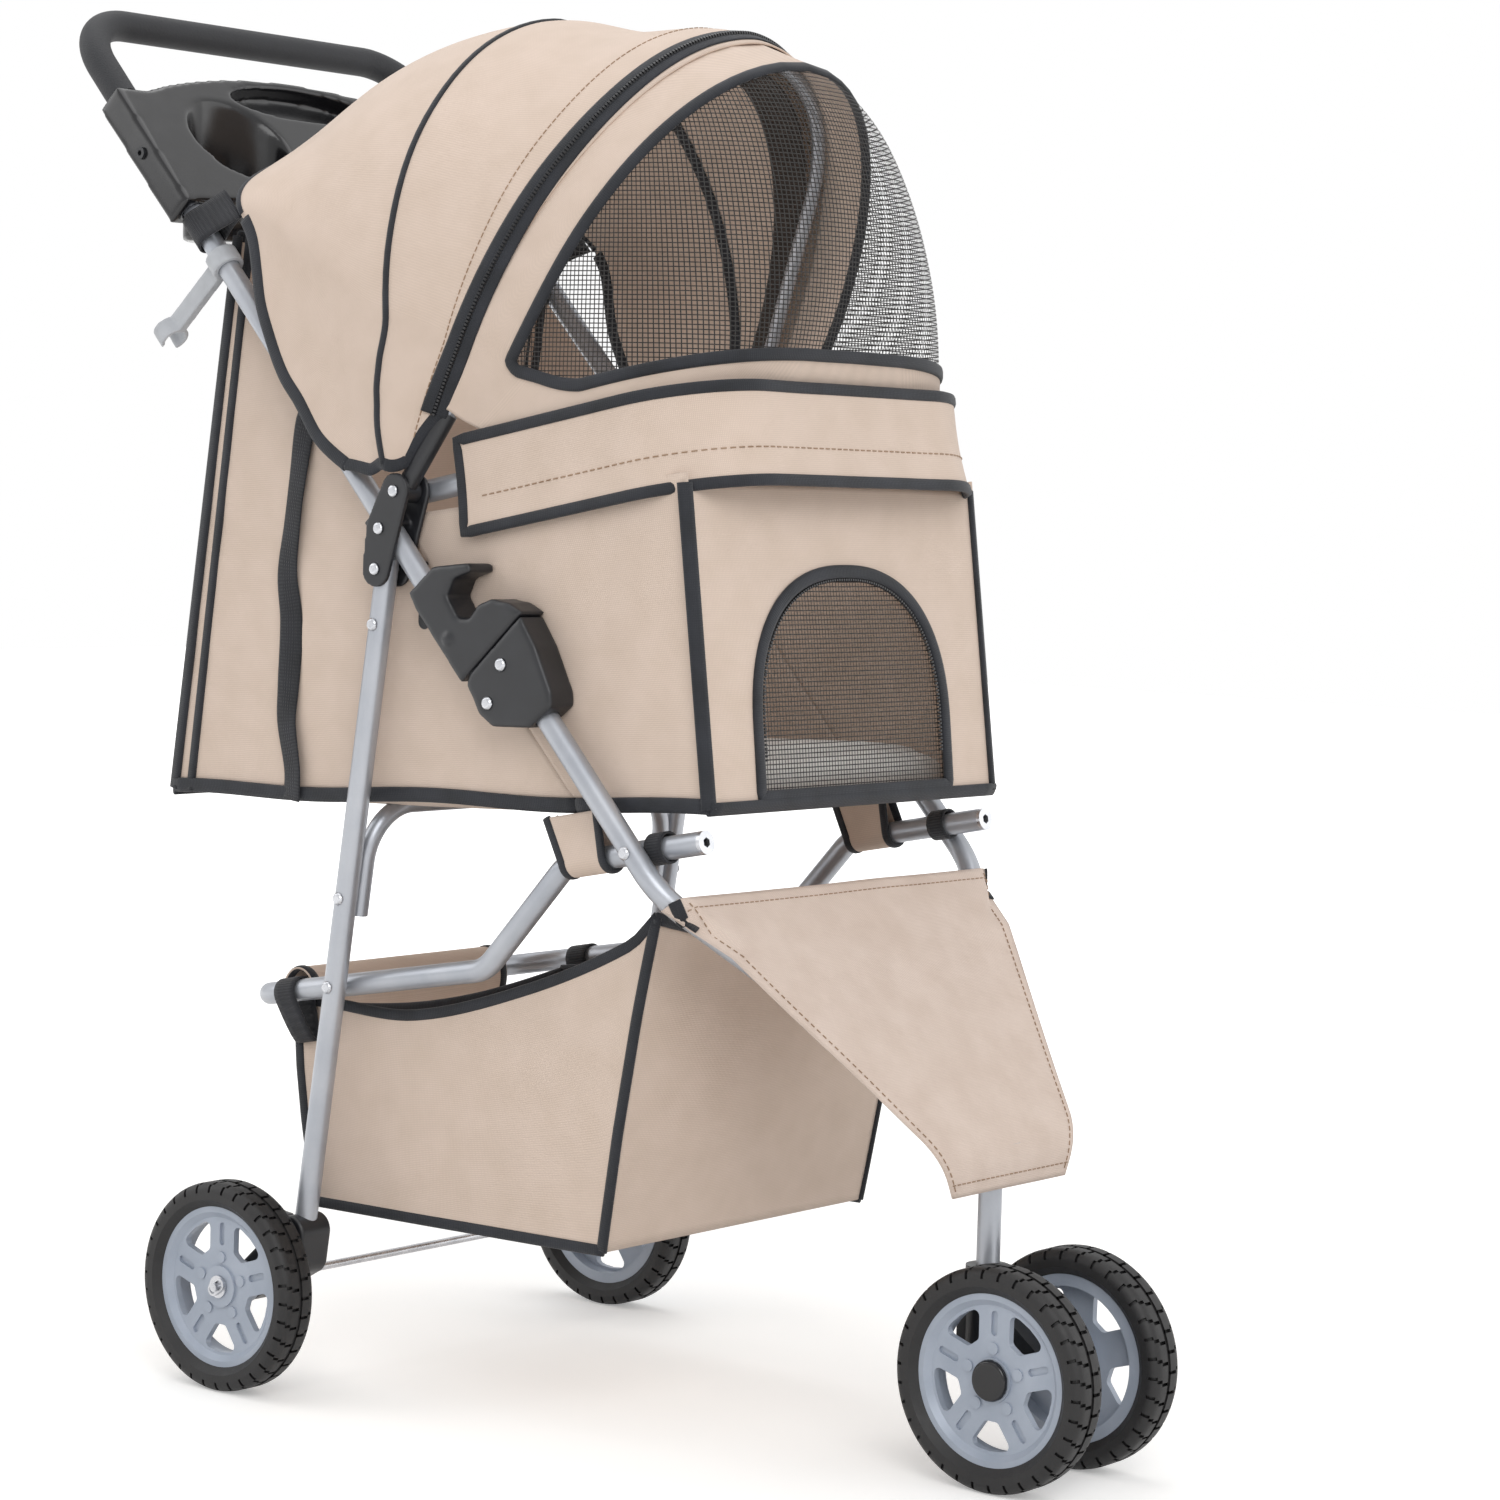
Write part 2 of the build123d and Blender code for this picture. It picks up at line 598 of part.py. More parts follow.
with BuildPart() as bracket_rivets:
    for name, side in SIDES:
        outer = PLATE_OUT + BRACKET_PLATE
        rivet(LEG_PIVOT, PLATE_IN - BRACKET_PLATE, outer, side)
        rivet(BRACKET_MID, PLATE_IN - BRACKET_PLATE, outer, side)
        rivet(BOW_PIVOT, HOOP_X - TUBE_R, outer, side)
save(bracket_rivets, "bracket_rivets")

# Webbing loops that tie the hood to the upper tubes under the tray
with BuildPart() as webbing_loops:
    for name, side in SIDES:
        with BuildSketch(ring_plane(side * FRAME_X, LOOP_S)):
            Circle(TUBE_R + FIT + LOOP_WALL)
            Circle(TUBE_R + FIT, mode=Mode.SUBTRACT)
        extrude(amount=LOOP_LENGTH)
save(webbing_loops, "webbing_loops")

# Fold clip: a ring that turns on the right upper tube, an arm and an open clip for the rear leg
with BuildPart() as fold_clip:
    with BuildSketch(ring_plane(-FRAME_X, CLIP_S)):
        Circle(TUBE_R + 4.0)
        with Locations((0, CLIP_REACH / 2)):
            Rectangle(7.0, CLIP_REACH - 2 * TUBE_R)
        with Locations((0, CLIP_REACH)):
            Circle(TUBE_R + 3.0)
            Circle(TUBE_R + FIT, mode=Mode.SUBTRACT)
        with Locations((0, CLIP_REACH + TUBE_R)):
            Rectangle(2 * TUBE_R - 4.0, TUBE_R, mode=Mode.SUBTRACT)
        Circle(TUBE_R + FIT, mode=Mode.SUBTRACT)
    extrude(amount=CLIP_LENGTH)
save(fold_clip, "fold_clip")

# Lock housings: two cheeks round the fold pivot and a filled front that takes the lower tube
HOUSING_OUT = PLATE_OUT + HOUSING_WALL
HOUSING_IN = PLATE_IN - HOUSING_WALL
for name, side in SIDES:
    with BuildPart() as housing:
        with BuildSketch(outward_tube(side, HOUSING_IN)):
            with BuildLine():
                Polyline(
                    (side * PARTING_S, HOUSING_OFFSET + 34.0),
                    (side * 2.0, HOUSING_OFFSET + 31.0),
                    (side * -30.0, HOUSING_OFFSET + 22.0),
                    (side * -38.0, HOUSING_OFFSET + 16.0),
                    (side * -36.0, HOUSING_OFFSET - 9.0),
                    (side * -14.0, -TUBE_R),
                    (side * 0.0, -TUBE_R - 4.0),
                    (side * 13.0, -TUBE_R - 1.0),
                    (side * (PARTING_S - 4.0), -TUBE_R),
                    (side * PARTING_S, 0.0),
                    (side * PARTING_S, HOUSING_OFFSET + 34.0),
                )
            make_face()
        extrude(amount=HOUSING_OUT - HOUSING_IN)
        fillet(housing.faces().filter_by(Axis.X).edges().filter_by(GeomType.LINE), radius=LOCK_EDGE_R)
        with BuildSketch(outward_tube(side, PLATE_IN)):
            with BuildLine():
                Polyline(
                    (side * 2 * PARTING_S, HOUSING_OFFSET - TUBE_R - 2.0),
                    (side * -16.0, HOUSING_OFFSET - TUBE_R - 2.0),
                    (side * -30.0, -4 * TUBE_R),
                    (side * 2 * PARTING_S, -4 * TUBE_R),
                    (side * 2 * PARTING_S, HOUSING_OFFSET - TUBE_R - 2.0),
                )
            make_face()
        extrude(amount=PLATE_OUT - PLATE_IN, mode=Mode.SUBTRACT)
        start = tube_point(FRONT_TUBE_TOP, HOUSING_OFFSET)
        with BuildSketch(Plane(origin=place(side * FRAME_X, start), z_dir=(0, -ALONG[0], -ALONG[1]))):
            Circle(TUBE_R + FIT)
        extrude(amount=FRONT_PIVOT_RUN, mode=Mode.SUBTRACT)
        for hole in (tube_point(0.0), HOUSING_RIVET):
            cross_hole(hole, RIVET_R + FIT, HOUSING_IN - 1, HOUSING_OUT + 1, side)
    save(housing, "lock_housing_" + name)

# Lower front tubes: straight past the seat pivot, then bent inwards to the yoke
YOKE_Z = tube_point((STEM_Y - tube_point(0.0, HOUSING_OFFSET)[0]) / ALONG[0], HOUSING_OFFSET)[1]
FRONT_RUN = (STEM_Y - tube_point(0.0, HOUSING_OFFSET)[0]) / ALONG[0]
for name, side in SIDES:
    tube = bent_tube(
        [
            place(side * FRAME_X, tube_point(FRONT_TUBE_TOP - GAP, HOUSING_OFFSET)),
            place(side * FRAME_X, tube_point(-FRONT_BEND_RUN, HOUSING_OFFSET)),
            place(side * YOKE_X, tube_point(FRONT_RUN + YOKE_X, HOUSING_OFFSET)),
        ],
        FRONT_BEND_R,
        TUBE_R,
        TUBE_WALL,
        [(side * FRAME_X, HOUSING_RIVET), (side * FRAME_X, FRONT_PIVOT)],
    )
    save(tube, "front_tube_" + name)

with BuildPart() as housing_rivets:
    for name, side in SIDES:
        rivet(tube_point(0.0), HOUSING_IN, HOUSING_OUT, side)
        rivet(HOUSING_RIVET, HOUSING_IN, HOUSING_OUT, side)
        rivet(FRONT_PIVOT, FRAME_X - TUBE_R, FRAME_X + TUBE_R, side)
save(housing_rivets, "housing_rivets")

# Yoke and stem: the block where the lower tubes meet, and the upright stem below it
yoke_low = YOKE_Z - YOKE_HEIGHT / 2
with BuildPart() as front_yoke:
    with BuildSketch(Plane.XY.offset(yoke_low)):
        with Locations((0, STEM_Y)):
            RectangleRounded(YOKE_WIDTH, YOKE_DEPTH, YOKE_DEPTH / 3)
    extrude(amount=YOKE_HEIGHT)
    fillet(front_yoke.faces().filter_by(Axis.Z).edges(), radius=3.0)
    split(bisect_by=tube_plane(HOUSING_OFFSET + TUBE_R), keep=Keep.BOTTOM)
    for name, side in SIDES:
        inner_end = place(side * YOKE_X, tube_point(FRONT_RUN + YOKE_X, HOUSING_OFFSET))
        outer_end = place(side * FRAME_X, tube_point(-FRONT_BEND_RUN, HOUSING_OFFSET))
        direction = Vector(*outer_end) - Vector(*inner_end)
        with BuildSketch(Plane(origin=Vector(*inner_end) - direction.normalized() * GAP, z_dir=direction)):
            Circle(TUBE_R + FIT)
        extrude(amount=2 * YOKE_HEIGHT, mode=Mode.SUBTRACT)
    with BuildSketch(Plane.XY.offset(STEM_FOOT_Z)):
        with Locations((0, STEM_Y)):
            Circle(TUBE_R)
    extrude(amount=yoke_low - STEM_FOOT_Z + 1.0)
save(front_yoke, "front_yoke")

# Front cover: cloth over the lower tubes, slanted with them and hanging upright at its foot
cover_top = tube_point(-COVER_TOP_RUN, HOUSING_OFFSET + TUBE_R + GAP)
cover_knee_y = STEM_Y - YOKE_DEPTH / 2 - GAP
cover_knee = (cover_knee_y, cover_top[1] + (cover_knee_y - cover_top[0]) * ALONG[1] / ALONG[0])
with BuildPart() as front_cover:
    with BuildSketch(Plane.YZ.offset(-COVER_HALF_TOP)):
        with BuildLine():
            Polyline(
                cover_top,
                cover_knee,
                (cover_knee[0], COVER_FOOT_Z),
                (cover_knee[0] - COVER_THICK, COVER_FOOT_Z),
                (cover_knee[0] - COVER_THICK, cover_knee[1] + COVER_THICK / 2),
                (cover_top[0] + COVER_THICK * ACROSS[0], cover_top[1] + COVER_THICK * ACROSS[1]),
                cover_top,
            )
        make_face()
    extrude(amount=2 * COVER_HALF_TOP)
    with BuildSketch(Plane.XZ.offset(-cover_top[0])):
        with BuildLine():
            Polyline(
                (-COVER_HALF_TOP, cover_top[1] + COVER_THICK),
                (COVER_HALF_TOP, cover_top[1] + COVER_THICK),
                (COVER_HALF_FOOT, COVER_FOOT_Z),
                (-COVER_HALF_FOOT, COVER_FOOT_Z),
                (-COVER_HALF_TOP, cover_top[1] + COVER_THICK),
            )
        make_face()
    extrude(amount=HALF_LENGTH, mode=Mode.INTERSECT)
save(front_cover, "front_cover")

# Lock sliders: a finger hook round each upper tube, resting on the housing's parting face
SLIDER_LOW_S = PARTING_S + SLIDER_GAP
HOOK_DRAWN = (105.0, 58.0)
HOOK_SHOULDER = 63.5
HOOK_HEEL = 92.0
HOOK_OUTLINE = (
    (40.0, 58.0),
    (52.0, 48.0),
    (57.0, 36.0),
    (55.0, 24.0),
    (62.0, 16.0),
    (80.0, 18.0),
    (85.0, 30.0),
    (78.0, 46.0),
    (84.0, 48.0),
    (104.0, 21.0),
)
for name, side in SIDES:
    with BuildPart() as slider:
        with BuildSketch(outward_tube(side, HOUSING_IN)):
            with BuildLine():
                long = HOOK_LENGTH / HOOK_DRAWN[0]
                tall = HOOK_RISE / HOOK_DRAWN[1]
                hook = [(side * long * s, tall * v) for s, v in HOOK_OUTLINE]
                Polyline(
                    (side * SLIDER_LOW_S, -TUBE_R - HOOK_BACK),
                    (side * SLIDER_LOW_S, tall * HOOK_SHOULDER),
                    *hook,
                    (side * HOOK_LENGTH, -TUBE_R),
                    (side * long * HOOK_HEEL, -TUBE_R - HOOK_BACK),
                    (side * SLIDER_LOW_S, -TUBE_R - HOOK_BACK),
                )
            make_face()
        extrude(amount=HOUSING_OUT - HOUSING_IN)
        with BuildSketch(ring_plane(side * FRAME_X, 0.0)):
            Circle(TUBE_R + FIT)
        extrude(amount=2 * LEG_PIVOT_S, mode=Mode.SUBTRACT)
        pin = tube_point(HOOK_PIN_S)
        with BuildSketch(outward(side, HOUSING_OUT)):
            with Locations((side * pin[0], pin[1])):
                Circle(RIVET_HEAD_R)
        extrude(amount=RIVET_HEAD_H, taper=35)
    save(slider, "lock_slider_" + name)

# Caster fork: a socket that turns on the stem, an arm to the axle and bosses for the wheels
CASTER_AXLE = (CASTER_AXLE_Y, WHEEL_R)
FRONT_HUB_IN = 11.0
FRONT_HUB_OUT = 8.0
BOSS_END = FRONT_WHEEL_X - FRONT_HUB_IN - GAP
with BuildPart() as caster_fork:
    with BuildSketch(Plane.YZ.offset(-CASTER_HALF)):
        socket_high = CASTER_SOCKET_TOP - 2 * CASTER_SOCKET_R
        with Locations((STEM_Y, socket_high), (STEM_Y, WHEEL_R + CASTER_SOCKET_R)):
            Circle(CASTER_SOCKET_R)
        with Locations(CASTER_AXLE):
            Circle(CASTER_SOCKET_R)
        make_hull()
    extrude(amount=2 * CASTER_HALF)
    with BuildSketch(Plane.XY.offset(WHEEL_R)):
        with Locations((0, STEM_Y)):
            Circle(CASTER_SOCKET_R)
    extrude(amount=CASTER_SOCKET_TOP - WHEEL_R)
    with BuildSketch(Plane.YZ.offset(-BOSS_END)):
        with Locations(CASTER_AXLE):
            Circle(10.0)
    extrude(amount=2 * BOSS_END)
    with BuildSketch(Plane.XY.offset(STEM_FOOT_Z - GAP)):
        with Locations((0, STEM_Y)):
            Circle(TUBE_R + FIT)
    extrude(amount=CASTER_SOCKET_TOP, mode=Mode.SUBTRACT)
    with BuildSketch(Plane.YZ.offset(-2 * BOSS_END)):
        with Locations(CASTER_AXLE):
            Circle(AXLE_R + FIT)
    extrude(amount=4 * BOSS_END, mode=Mode.SUBTRACT)
save(caster_fork, "caster_fork")

FRONT_HUB_END = FRONT_WHEEL_X + FRONT_HUB_OUT
with BuildPart() as front_axle:
    with BuildSketch(Plane.YZ.offset(-FRONT_HUB_END)):
        with Locations(CASTER_AXLE):
            Circle(AXLE_R)
    extrude(amount=2 * FRONT_HUB_END)
save(front_axle, "front_axle")


# Wheels: a spoked rim with slotted spokes and a tyre with rounded shoulders
def wheel_plane(side, x, axle):
    """Plane through the wheel's axis; its sketch points are (outwards, radius)."""
    return Plane(origin=(side * x, axle[0], axle[1]), x_dir=(side, 0, 0), z_dir=(0, -side, 0))


def make_rim(side, x, axle, hub_in, hub_out):
    """Rim ring, spoke disc and hub, with windows between the spokes and a slot in each."""
    with BuildPart() as rim:
        with BuildSketch(wheel_plane(side, x, axle)):
            with BuildLine():
                Polyline(
                    (-hub_in, AXLE_R + FIT),
                    (hub_out, AXLE_R + FIT),
                    (hub_out, HUB_R),
                    (DISC_HIGH, HUB_R),
                    (DISC_HIGH, RIM_R - RIM_LIP),
                    (RIM_HALF, RIM_R - RIM_LIP / 2),
                    (RIM_HALF, RIM_R),
                    (-RIM_HALF, RIM_R),
                    (-RIM_HALF, RIM_R - RIM_LIP),
                    (DISC_LOW, RIM_R - RIM_LIP),
                    (DISC_LOW, HUB_R),
                    (-hub_in, HUB_R),
                    (-hub_in, AXLE_R + FIT),
                )
            make_face()
        revolve(axis=Axis((0, axle[0], axle[1]), (1, 0, 0)))
        window_out = RIM_R - RIM_LIP - 2.0
        half = radians(WINDOW_HALF_ANGLE)
        corners = [(WINDOW_IN_R * cos(a), WINDOW_IN_R * sin(a)) for a in (-half / 2, half / 2)]
        corners += [(window_out * cos(a), window_out * sin(a)) for a in (half, half / 2, 0, -half / 2, -half)]
        with BuildSketch(outward(side, x + DISC_LOW - 1.0)) as windows:
            with Locations((side * axle[0], axle[1])):
                with PolarLocations(0, WINDOW_COUNT, start_angle=90 + 180 / WINDOW_COUNT):
                    Polygon(*corners, align=None)
            fillet(windows.vertices(), radius=WINDOW_ROUND)
        extrude(amount=DISC_HIGH - DISC_LOW + 2.0, mode=Mode.SUBTRACT)
        with BuildSketch(outward(side, x + DISC_HIGH - 2.0)):
            with Locations((side * axle[0], axle[1])):
                with PolarLocations((WINDOW_IN_R + window_out) / 2, WINDOW_COUNT, start_angle=90):
                    SlotOverall(window_out - WINDOW_IN_R - 3.0, SPOKE_SLOT_W)
        extrude(amount=3.0, mode=Mode.SUBTRACT)
        with BuildSketch(outward(side, x + DISC_HIGH)):
            with Locations((side * axle[0], axle[1])):
                with PolarLocations(BOSS_RING_R, WINDOW_COUNT, start_angle=90):
                    Circle(BOSS_R)
        extrude(amount=BOSS_H)
    return rim


def make_tyre(side, x, axle):
    """Tyre ring with chamfered shoulders, seated on the rim."""
    with BuildPart() as tyre:
        with BuildSketch(wheel_plane(side, x, axle)):
            with BuildLine():
                Polyline(
                    (-RIM_HALF, RIM_R + FIT),
                    (RIM_HALF, RIM_R + FIT),
                    (TYRE_HALF, RIM_R + TYRE_SHOULDER),
                    (TYRE_HALF, WHEEL_R - TYRE_SHOULDER),
                    (TYRE_HALF - TYRE_SHOULDER, WHEEL_R),
                    (TYRE_SHOULDER - TYRE_HALF, WHEEL_R),
                    (-TYRE_HALF, WHEEL_R - TYRE_SHOULDER),
                    (-TYRE_HALF, RIM_R + TYRE_SHOULDER),
                    (-RIM_HALF, RIM_R + FIT),
                )
            make_face()
        revolve(axis=Axis((0, axle[0], axle[1]), (1, 0, 0)))
    return tyre


for name, side in SIDES:
    save(make_rim(side, REAR_WHEEL_X, REAR_AXLE, HUB_IN, HUB_OUT), "rear_rim_" + name)
    save(make_tyre(side, REAR_WHEEL_X, REAR_AXLE), "rear_tyre_" + name)
    save(make_rim(side, FRONT_WHEEL_X, CASTER_AXLE, FRONT_HUB_IN, FRONT_HUB_OUT), "front_rim_" + name)
    save(make_tyre(side, FRONT_WHEEL_X, CASTER_AXLE), "front_tyre_" + name)
    with BuildPart() as hub_cap:
        with BuildSketch(outward(side, FRONT_HUB_END + FIT)):
            with Locations((side * CASTER_AXLE[0], CASTER_AXLE[1])):
                Circle(HUB_CAP_R)
        extrude(amount=HUB_CAP_H, taper=20)
    save(hub_cap, "front_hub_cap_" + name)

# Seat bar: a U of tube, low at the rear legs, stepped up to the front pivots
seat_rear = away(SEAT_PIVOT, SEAT_REAR_RUN, -SEAT_TILT)
seat_low = away(SEAT_PIVOT, -SEAT_MID_RUN, -SEAT_TILT)
seat_high = away(FRONT_PIVOT, SEAT_RISE_RUN, -SEAT_FRONT_TILT)
seat_tip = away(FRONT_PIVOT, -SEAT_TIP_RUN, -SEAT_FRONT_TILT)
seat_side = [seat_tip, seat_high, seat_low, seat_rear]
seat_route = [place(-SEAT_X, point) for point in seat_side]
seat_route += [place(SEAT_X, point) for point in reversed(seat_side)]
seat_radii = [SEAT_BEND_R, SEAT_BEND_R, SEAT_REAR_BEND_R, SEAT_REAR_BEND_R, SEAT_BEND_R, SEAT_BEND_R]
seat_holes = [(-SEAT_X, SEAT_PIVOT), (SEAT_X, SEAT_PIVOT)]
seat_bar = bent_tube(seat_route, seat_radii, TUBE_R, TUBE_WALL, seat_holes)
save(seat_bar, "seat_bar")

with BuildPart() as seat_bar_caps:
    for name, side in SIDES:
        front = Plane(
            origin=place(side * SEAT_X, seat_tip),
            z_dir=(0, -cos(radians(SEAT_FRONT_TILT)), sin(radians(SEAT_FRONT_TILT))),
        )
        with BuildSketch(front):
            Circle(TUBE_R)
            RegularPolygon(3.5, 6, mode=Mode.SUBTRACT)
        extrude(amount=CAP_THICK)
save(seat_bar_caps, "seat_bar_caps")

# Cabin: floor, pad, sides, front with its arched doorway, rear
CABIN_FRONT = (CABIN_FRONT_Y, CABIN_FRONT_Z)
CABIN_REAR = (CABIN_REAR_Y, CABIN_REAR_Z)
FLOOR_TILT = degrees(atan2(CABIN_REAR_Z - CABIN_FRONT_Z, CABIN_REAR_Y - CABIN_FRONT_Y))
FRONT_UP = 90.0 - FRONT_LEAN
REAR_UP = 90.0 + REAR_LEAN
WALL_INSET = PANEL + GAP
floor_front = away(CABIN_FRONT, WALL_INSET, FLOOR_TILT)
floor_rear = away(CABIN_REAR, -WALL_INSET, FLOOR_TILT)


floor_run = hypot(floor_rear[0] - floor_front[0], floor_rear[1] - floor_front[1])
floor_along = (0, cos(radians(FLOOR_TILT)), sin(radians(FLOOR_TILT)))


def floor_section(inset, lift):
    """Plane square to the floor near its front edge; its sketch points are (x, height)."""
    y, z = away(away(floor_front, inset, FLOOR_TILT), lift, FLOOR_TILT + 90)
    return Plane(origin=(0, y, z), x_dir=(-1, 0, 0), z_dir=floor_along)


floor_half = CABIN_HALF - PANEL - GAP
with BuildPart() as cabin_floor:
    with BuildSketch(floor_section(FLOOR_THICK, 0.0)):
        with Locations((0, FLOOR_THICK / 2)):
            Rectangle(2 * floor_half, FLOOR_THICK)
    extrude(amount=floor_run - 2 * FLOOR_THICK)
save(cabin_floor, "cabin_floor")

# Floor pad: crowned across its width, its sides drawn in between soft corners
pad_half = floor_half - PAD_INSET
pad_start = FLOOR_THICK + PAD_INSET
pad_end = floor_run - pad_start


def pad_section(run, draw, thick):
    """Crowned section of the pad, drawn in from its full half width."""
    half = pad_half - draw
    low = half - PAD_CROWN
    edge = thick - PAD_CROWN
    with BuildSketch(floor_section(run, FLOOR_THICK + GAP)) as section:
        with BuildLine():
            Line((-low, 0), (low, 0))
            ThreePointArc((low, 0), (half, edge / 2), (low, edge))
            ThreePointArc((low, edge), (0, thick), (-low, edge))
            ThreePointArc((-low, edge), (-half, edge / 2), (-low, 0))
        make_face()
    return section.sketch.faces()[0]


pad_sections = [
    pad_section(pad_start, PAD_CROWN, PAD_THICK - PAD_CROWN),
    pad_section(pad_start + PAD_THICK, 0.0, PAD_THICK),
    pad_section((pad_start + pad_end) / 2, PAD_DRAW, PAD_THICK),
    pad_section(pad_end - PAD_THICK, 0.0, PAD_THICK),
    pad_section(pad_end, PAD_CROWN, PAD_THICK - PAD_CROWN),
]
with BuildPart() as floor_pad:
    loft(pad_sections, ruled=True)
save(floor_pad, "floor_pad")

front_plane = Plane(
    origin=place(0, CABIN_FRONT),
    x_dir=(1, 0, 0),
    z_dir=(0, -cos(radians(FRONT_LEAN)), sin(radians(FRONT_LEAN))),
)
DOOR_TOP = DOOR_SILL + DOOR_SIDE + DOOR_HALF


def door_outline(grow):
    """Arched doorway outline in the front panel's plane."""
    half = DOOR_HALF + grow
    spring = DOOR_SILL + DOOR_SIDE
    corner = half * cos(radians(45))
    with BuildLine() as outline:
        Line((-half, DOOR_SILL - grow), (half, DOOR_SILL - grow))
        Line((half, DOOR_SILL - grow), (half, spring))
        ThreePointArc((half, spring), (corner, spring + corner), (0, spring + half))
        ThreePointArc((0, spring + half), (-corner, spring + corner), (-half, spring))
        Line((-half, spring), (-half, DOOR_SILL - grow))
    make_face(outline.edges())


with BuildPart() as cabin_front:
    with BuildSketch(front_plane):
        with Locations((0, FRONT_HEIGHT / 2)):
            Rectangle(2 * CABIN_HALF, FRONT_HEIGHT)
    extrude(amount=-PANEL)
    with BuildSketch(front_plane):
        door_outline(GAP)
    extrude(amount=-PANEL, mode=Mode.SUBTRACT)
save(cabin_front, "cabin_front")

with BuildPart() as front_door:
    with BuildSketch(front_plane):
        door_outline(0.0)
    extrude(amount=-PANEL)
save(front_door, "front_door")

rear_plane = Plane(
    origin=place(0, CABIN_REAR),
    x_dir=(-1, 0, 0),
    z_dir=(0, cos(radians(REAR_LEAN)), sin(radians(REAR_LEAN))),
)
with BuildPart() as cabin_rear:
    with BuildSketch(rear_plane):
        with Locations((0, REAR_HEIGHT / 2)):
            Rectangle(2 * CABIN_HALF, REAR_HEIGHT)
    extrude(amount=-PANEL)
save(cabin_rear, "cabin_rear")

HOOP_UP = 180.0 - HOOP_TILT
hoop_under = away(BOW_PIVOT, TUBE_R + 2 * GAP, HOOP_UP + 90)
side_front = away(CABIN_FRONT, WALL_INSET / cos(radians(FRONT_LEAN)), FLOOR_TILT)
side_rear = away(CABIN_REAR, -WALL_INSET / cos(radians(REAR_LEAN)), FLOOR_TILT)
side_rear_top = away(side_rear, REAR_HEIGHT, REAR_UP)
hoop_heel = away(hoop_under, -2 * TUBE_R, HOOP_UP)
side_front_low = away(side_front, FRONT_HEIGHT - WALL_INSET, FRONT_UP)
corner_run = (hoop_under[0] - HOOP_FRONT_Y - HOOP_BEND_R - GAP) / cos(radians(HOOP_TILT))
side_corner = away(hoop_under, corner_run, HOOP_UP)
step_fall = (side_corner[0] - side_front_low[0]) * tan(radians(HOOP_TILT))
side_step = (side_corner[0], side_front_low[1] - step_fall)
for name, side in SIDES:
    with BuildPart() as cabin_side:
        with BuildSketch(Plane.YZ.offset(side * CABIN_HALF)):
            with BuildLine():
                Polyline(
                    side_front,
                    side_front_low,
                    side_step,
                    side_corner,
                    hoop_heel,
                    (hoop_heel[0] + 2 * TUBE_R, hoop_heel[1] + 4 * TUBE_R),
                    side_rear_top,
                    side_rear,
                    side_front,
                )
            make_face()
        extrude(amount=-side * PANEL)
    save(cabin_side, "cabin_side_" + name)

# Cabin hoop: a U of tube from bracket to bracket round the top of the cabin's front
hoop_heel_end = away(BOW_PIVOT, -1.2 * TUBE_R, HOOP_UP)
hoop_run = (BOW_PIVOT[0] - HOOP_FRONT_Y) / cos(radians(HOOP_TILT))
hoop_front = away(BOW_PIVOT, hoop_run, HOOP_UP)
cabin_hoop = bent_tube(
    [
        place(-HOOP_X, hoop_heel_end),
        place(-HOOP_X, hoop_front),
        place(HOOP_X, hoop_front),
        place(HOOP_X, hoop_heel_end),
    ],
    HOOP_BEND_R,
    TUBE_R,
    TUBE_WALL,
    [(-HOOP_X, BOW_PIVOT), (HOOP_X, BOW_PIVOT)],
)
save(cabin_hoop, "cabin_hoop")

# Band: the cloth strip hanging on the outside of the hoop
band_start = away(BOW_PIVOT, BAND_START, HOOP_UP)
band_plane = Plane(
    origin=place(-HOOP_X, band_start),
    x_dir=(-1, 0, 0),
    z_dir=(0, cos(radians(HOOP_UP)), sin(radians(HOOP_UP))),
)
with BuildPart() as hoop_band:
    with BuildLine():
        FilletPolyline(
            place(-HOOP_X, band_start),
            place(-HOOP_X, hoop_front),
            place(HOOP_X, hoop_front),
            place(HOOP_X, band_start),
            radius=HOOP_BEND_R,
        )
    with BuildSketch(band_plane):
        with Locations((TUBE_R + GAP + FABRIC / 2, (BAND_BELOW - BAND_ABOVE) / 2)):
            Rectangle(FABRIC, BAND_ABOVE + BAND_BELOW)
    sweep()
save(hoop_band, "hoop_band")


# Hood and window panel: cloth stretched in arches over a fan of planes round the bow pivot
def arch_sketch(angle, half, foot, shoulder, top, power):
    """Thin arch in a fan plane: straight sides to the shoulder, then a curve over the crest.

    A power under one gives square shoulders, over one a tent.
    """

    def crown(inset):
        wide = half - inset
        rise = top - inset - shoulder
        turns = [radians(90.0 * step / CROWN_STEPS) for step in range(CROWN_STEPS)]
        right = [(wide * cos(turn) ** power, shoulder + rise * sin(turn)) for turn in turns]
        return [(-x, r) for x, r in right] + [(0, shoulder + rise)] + list(reversed(right))

    outer = crown(0.0)
    inner = crown(FABRIC)
    with BuildSketch(fan_plane(angle)) as arch:
        with BuildLine():
            Line((-half, foot), outer[0])
            Spline(*outer)
            Line(outer[-1], (half, foot))
            Line((half, foot), (half - FABRIC, foot))
            Line((half - FABRIC, foot), inner[-1])
            Spline(*reversed(inner))
            Line(inner[0], (FABRIC - half, foot))
            Line((FABRIC - half, foot), (-half, foot))
        make_face()
    return arch.sketch.faces()[0]


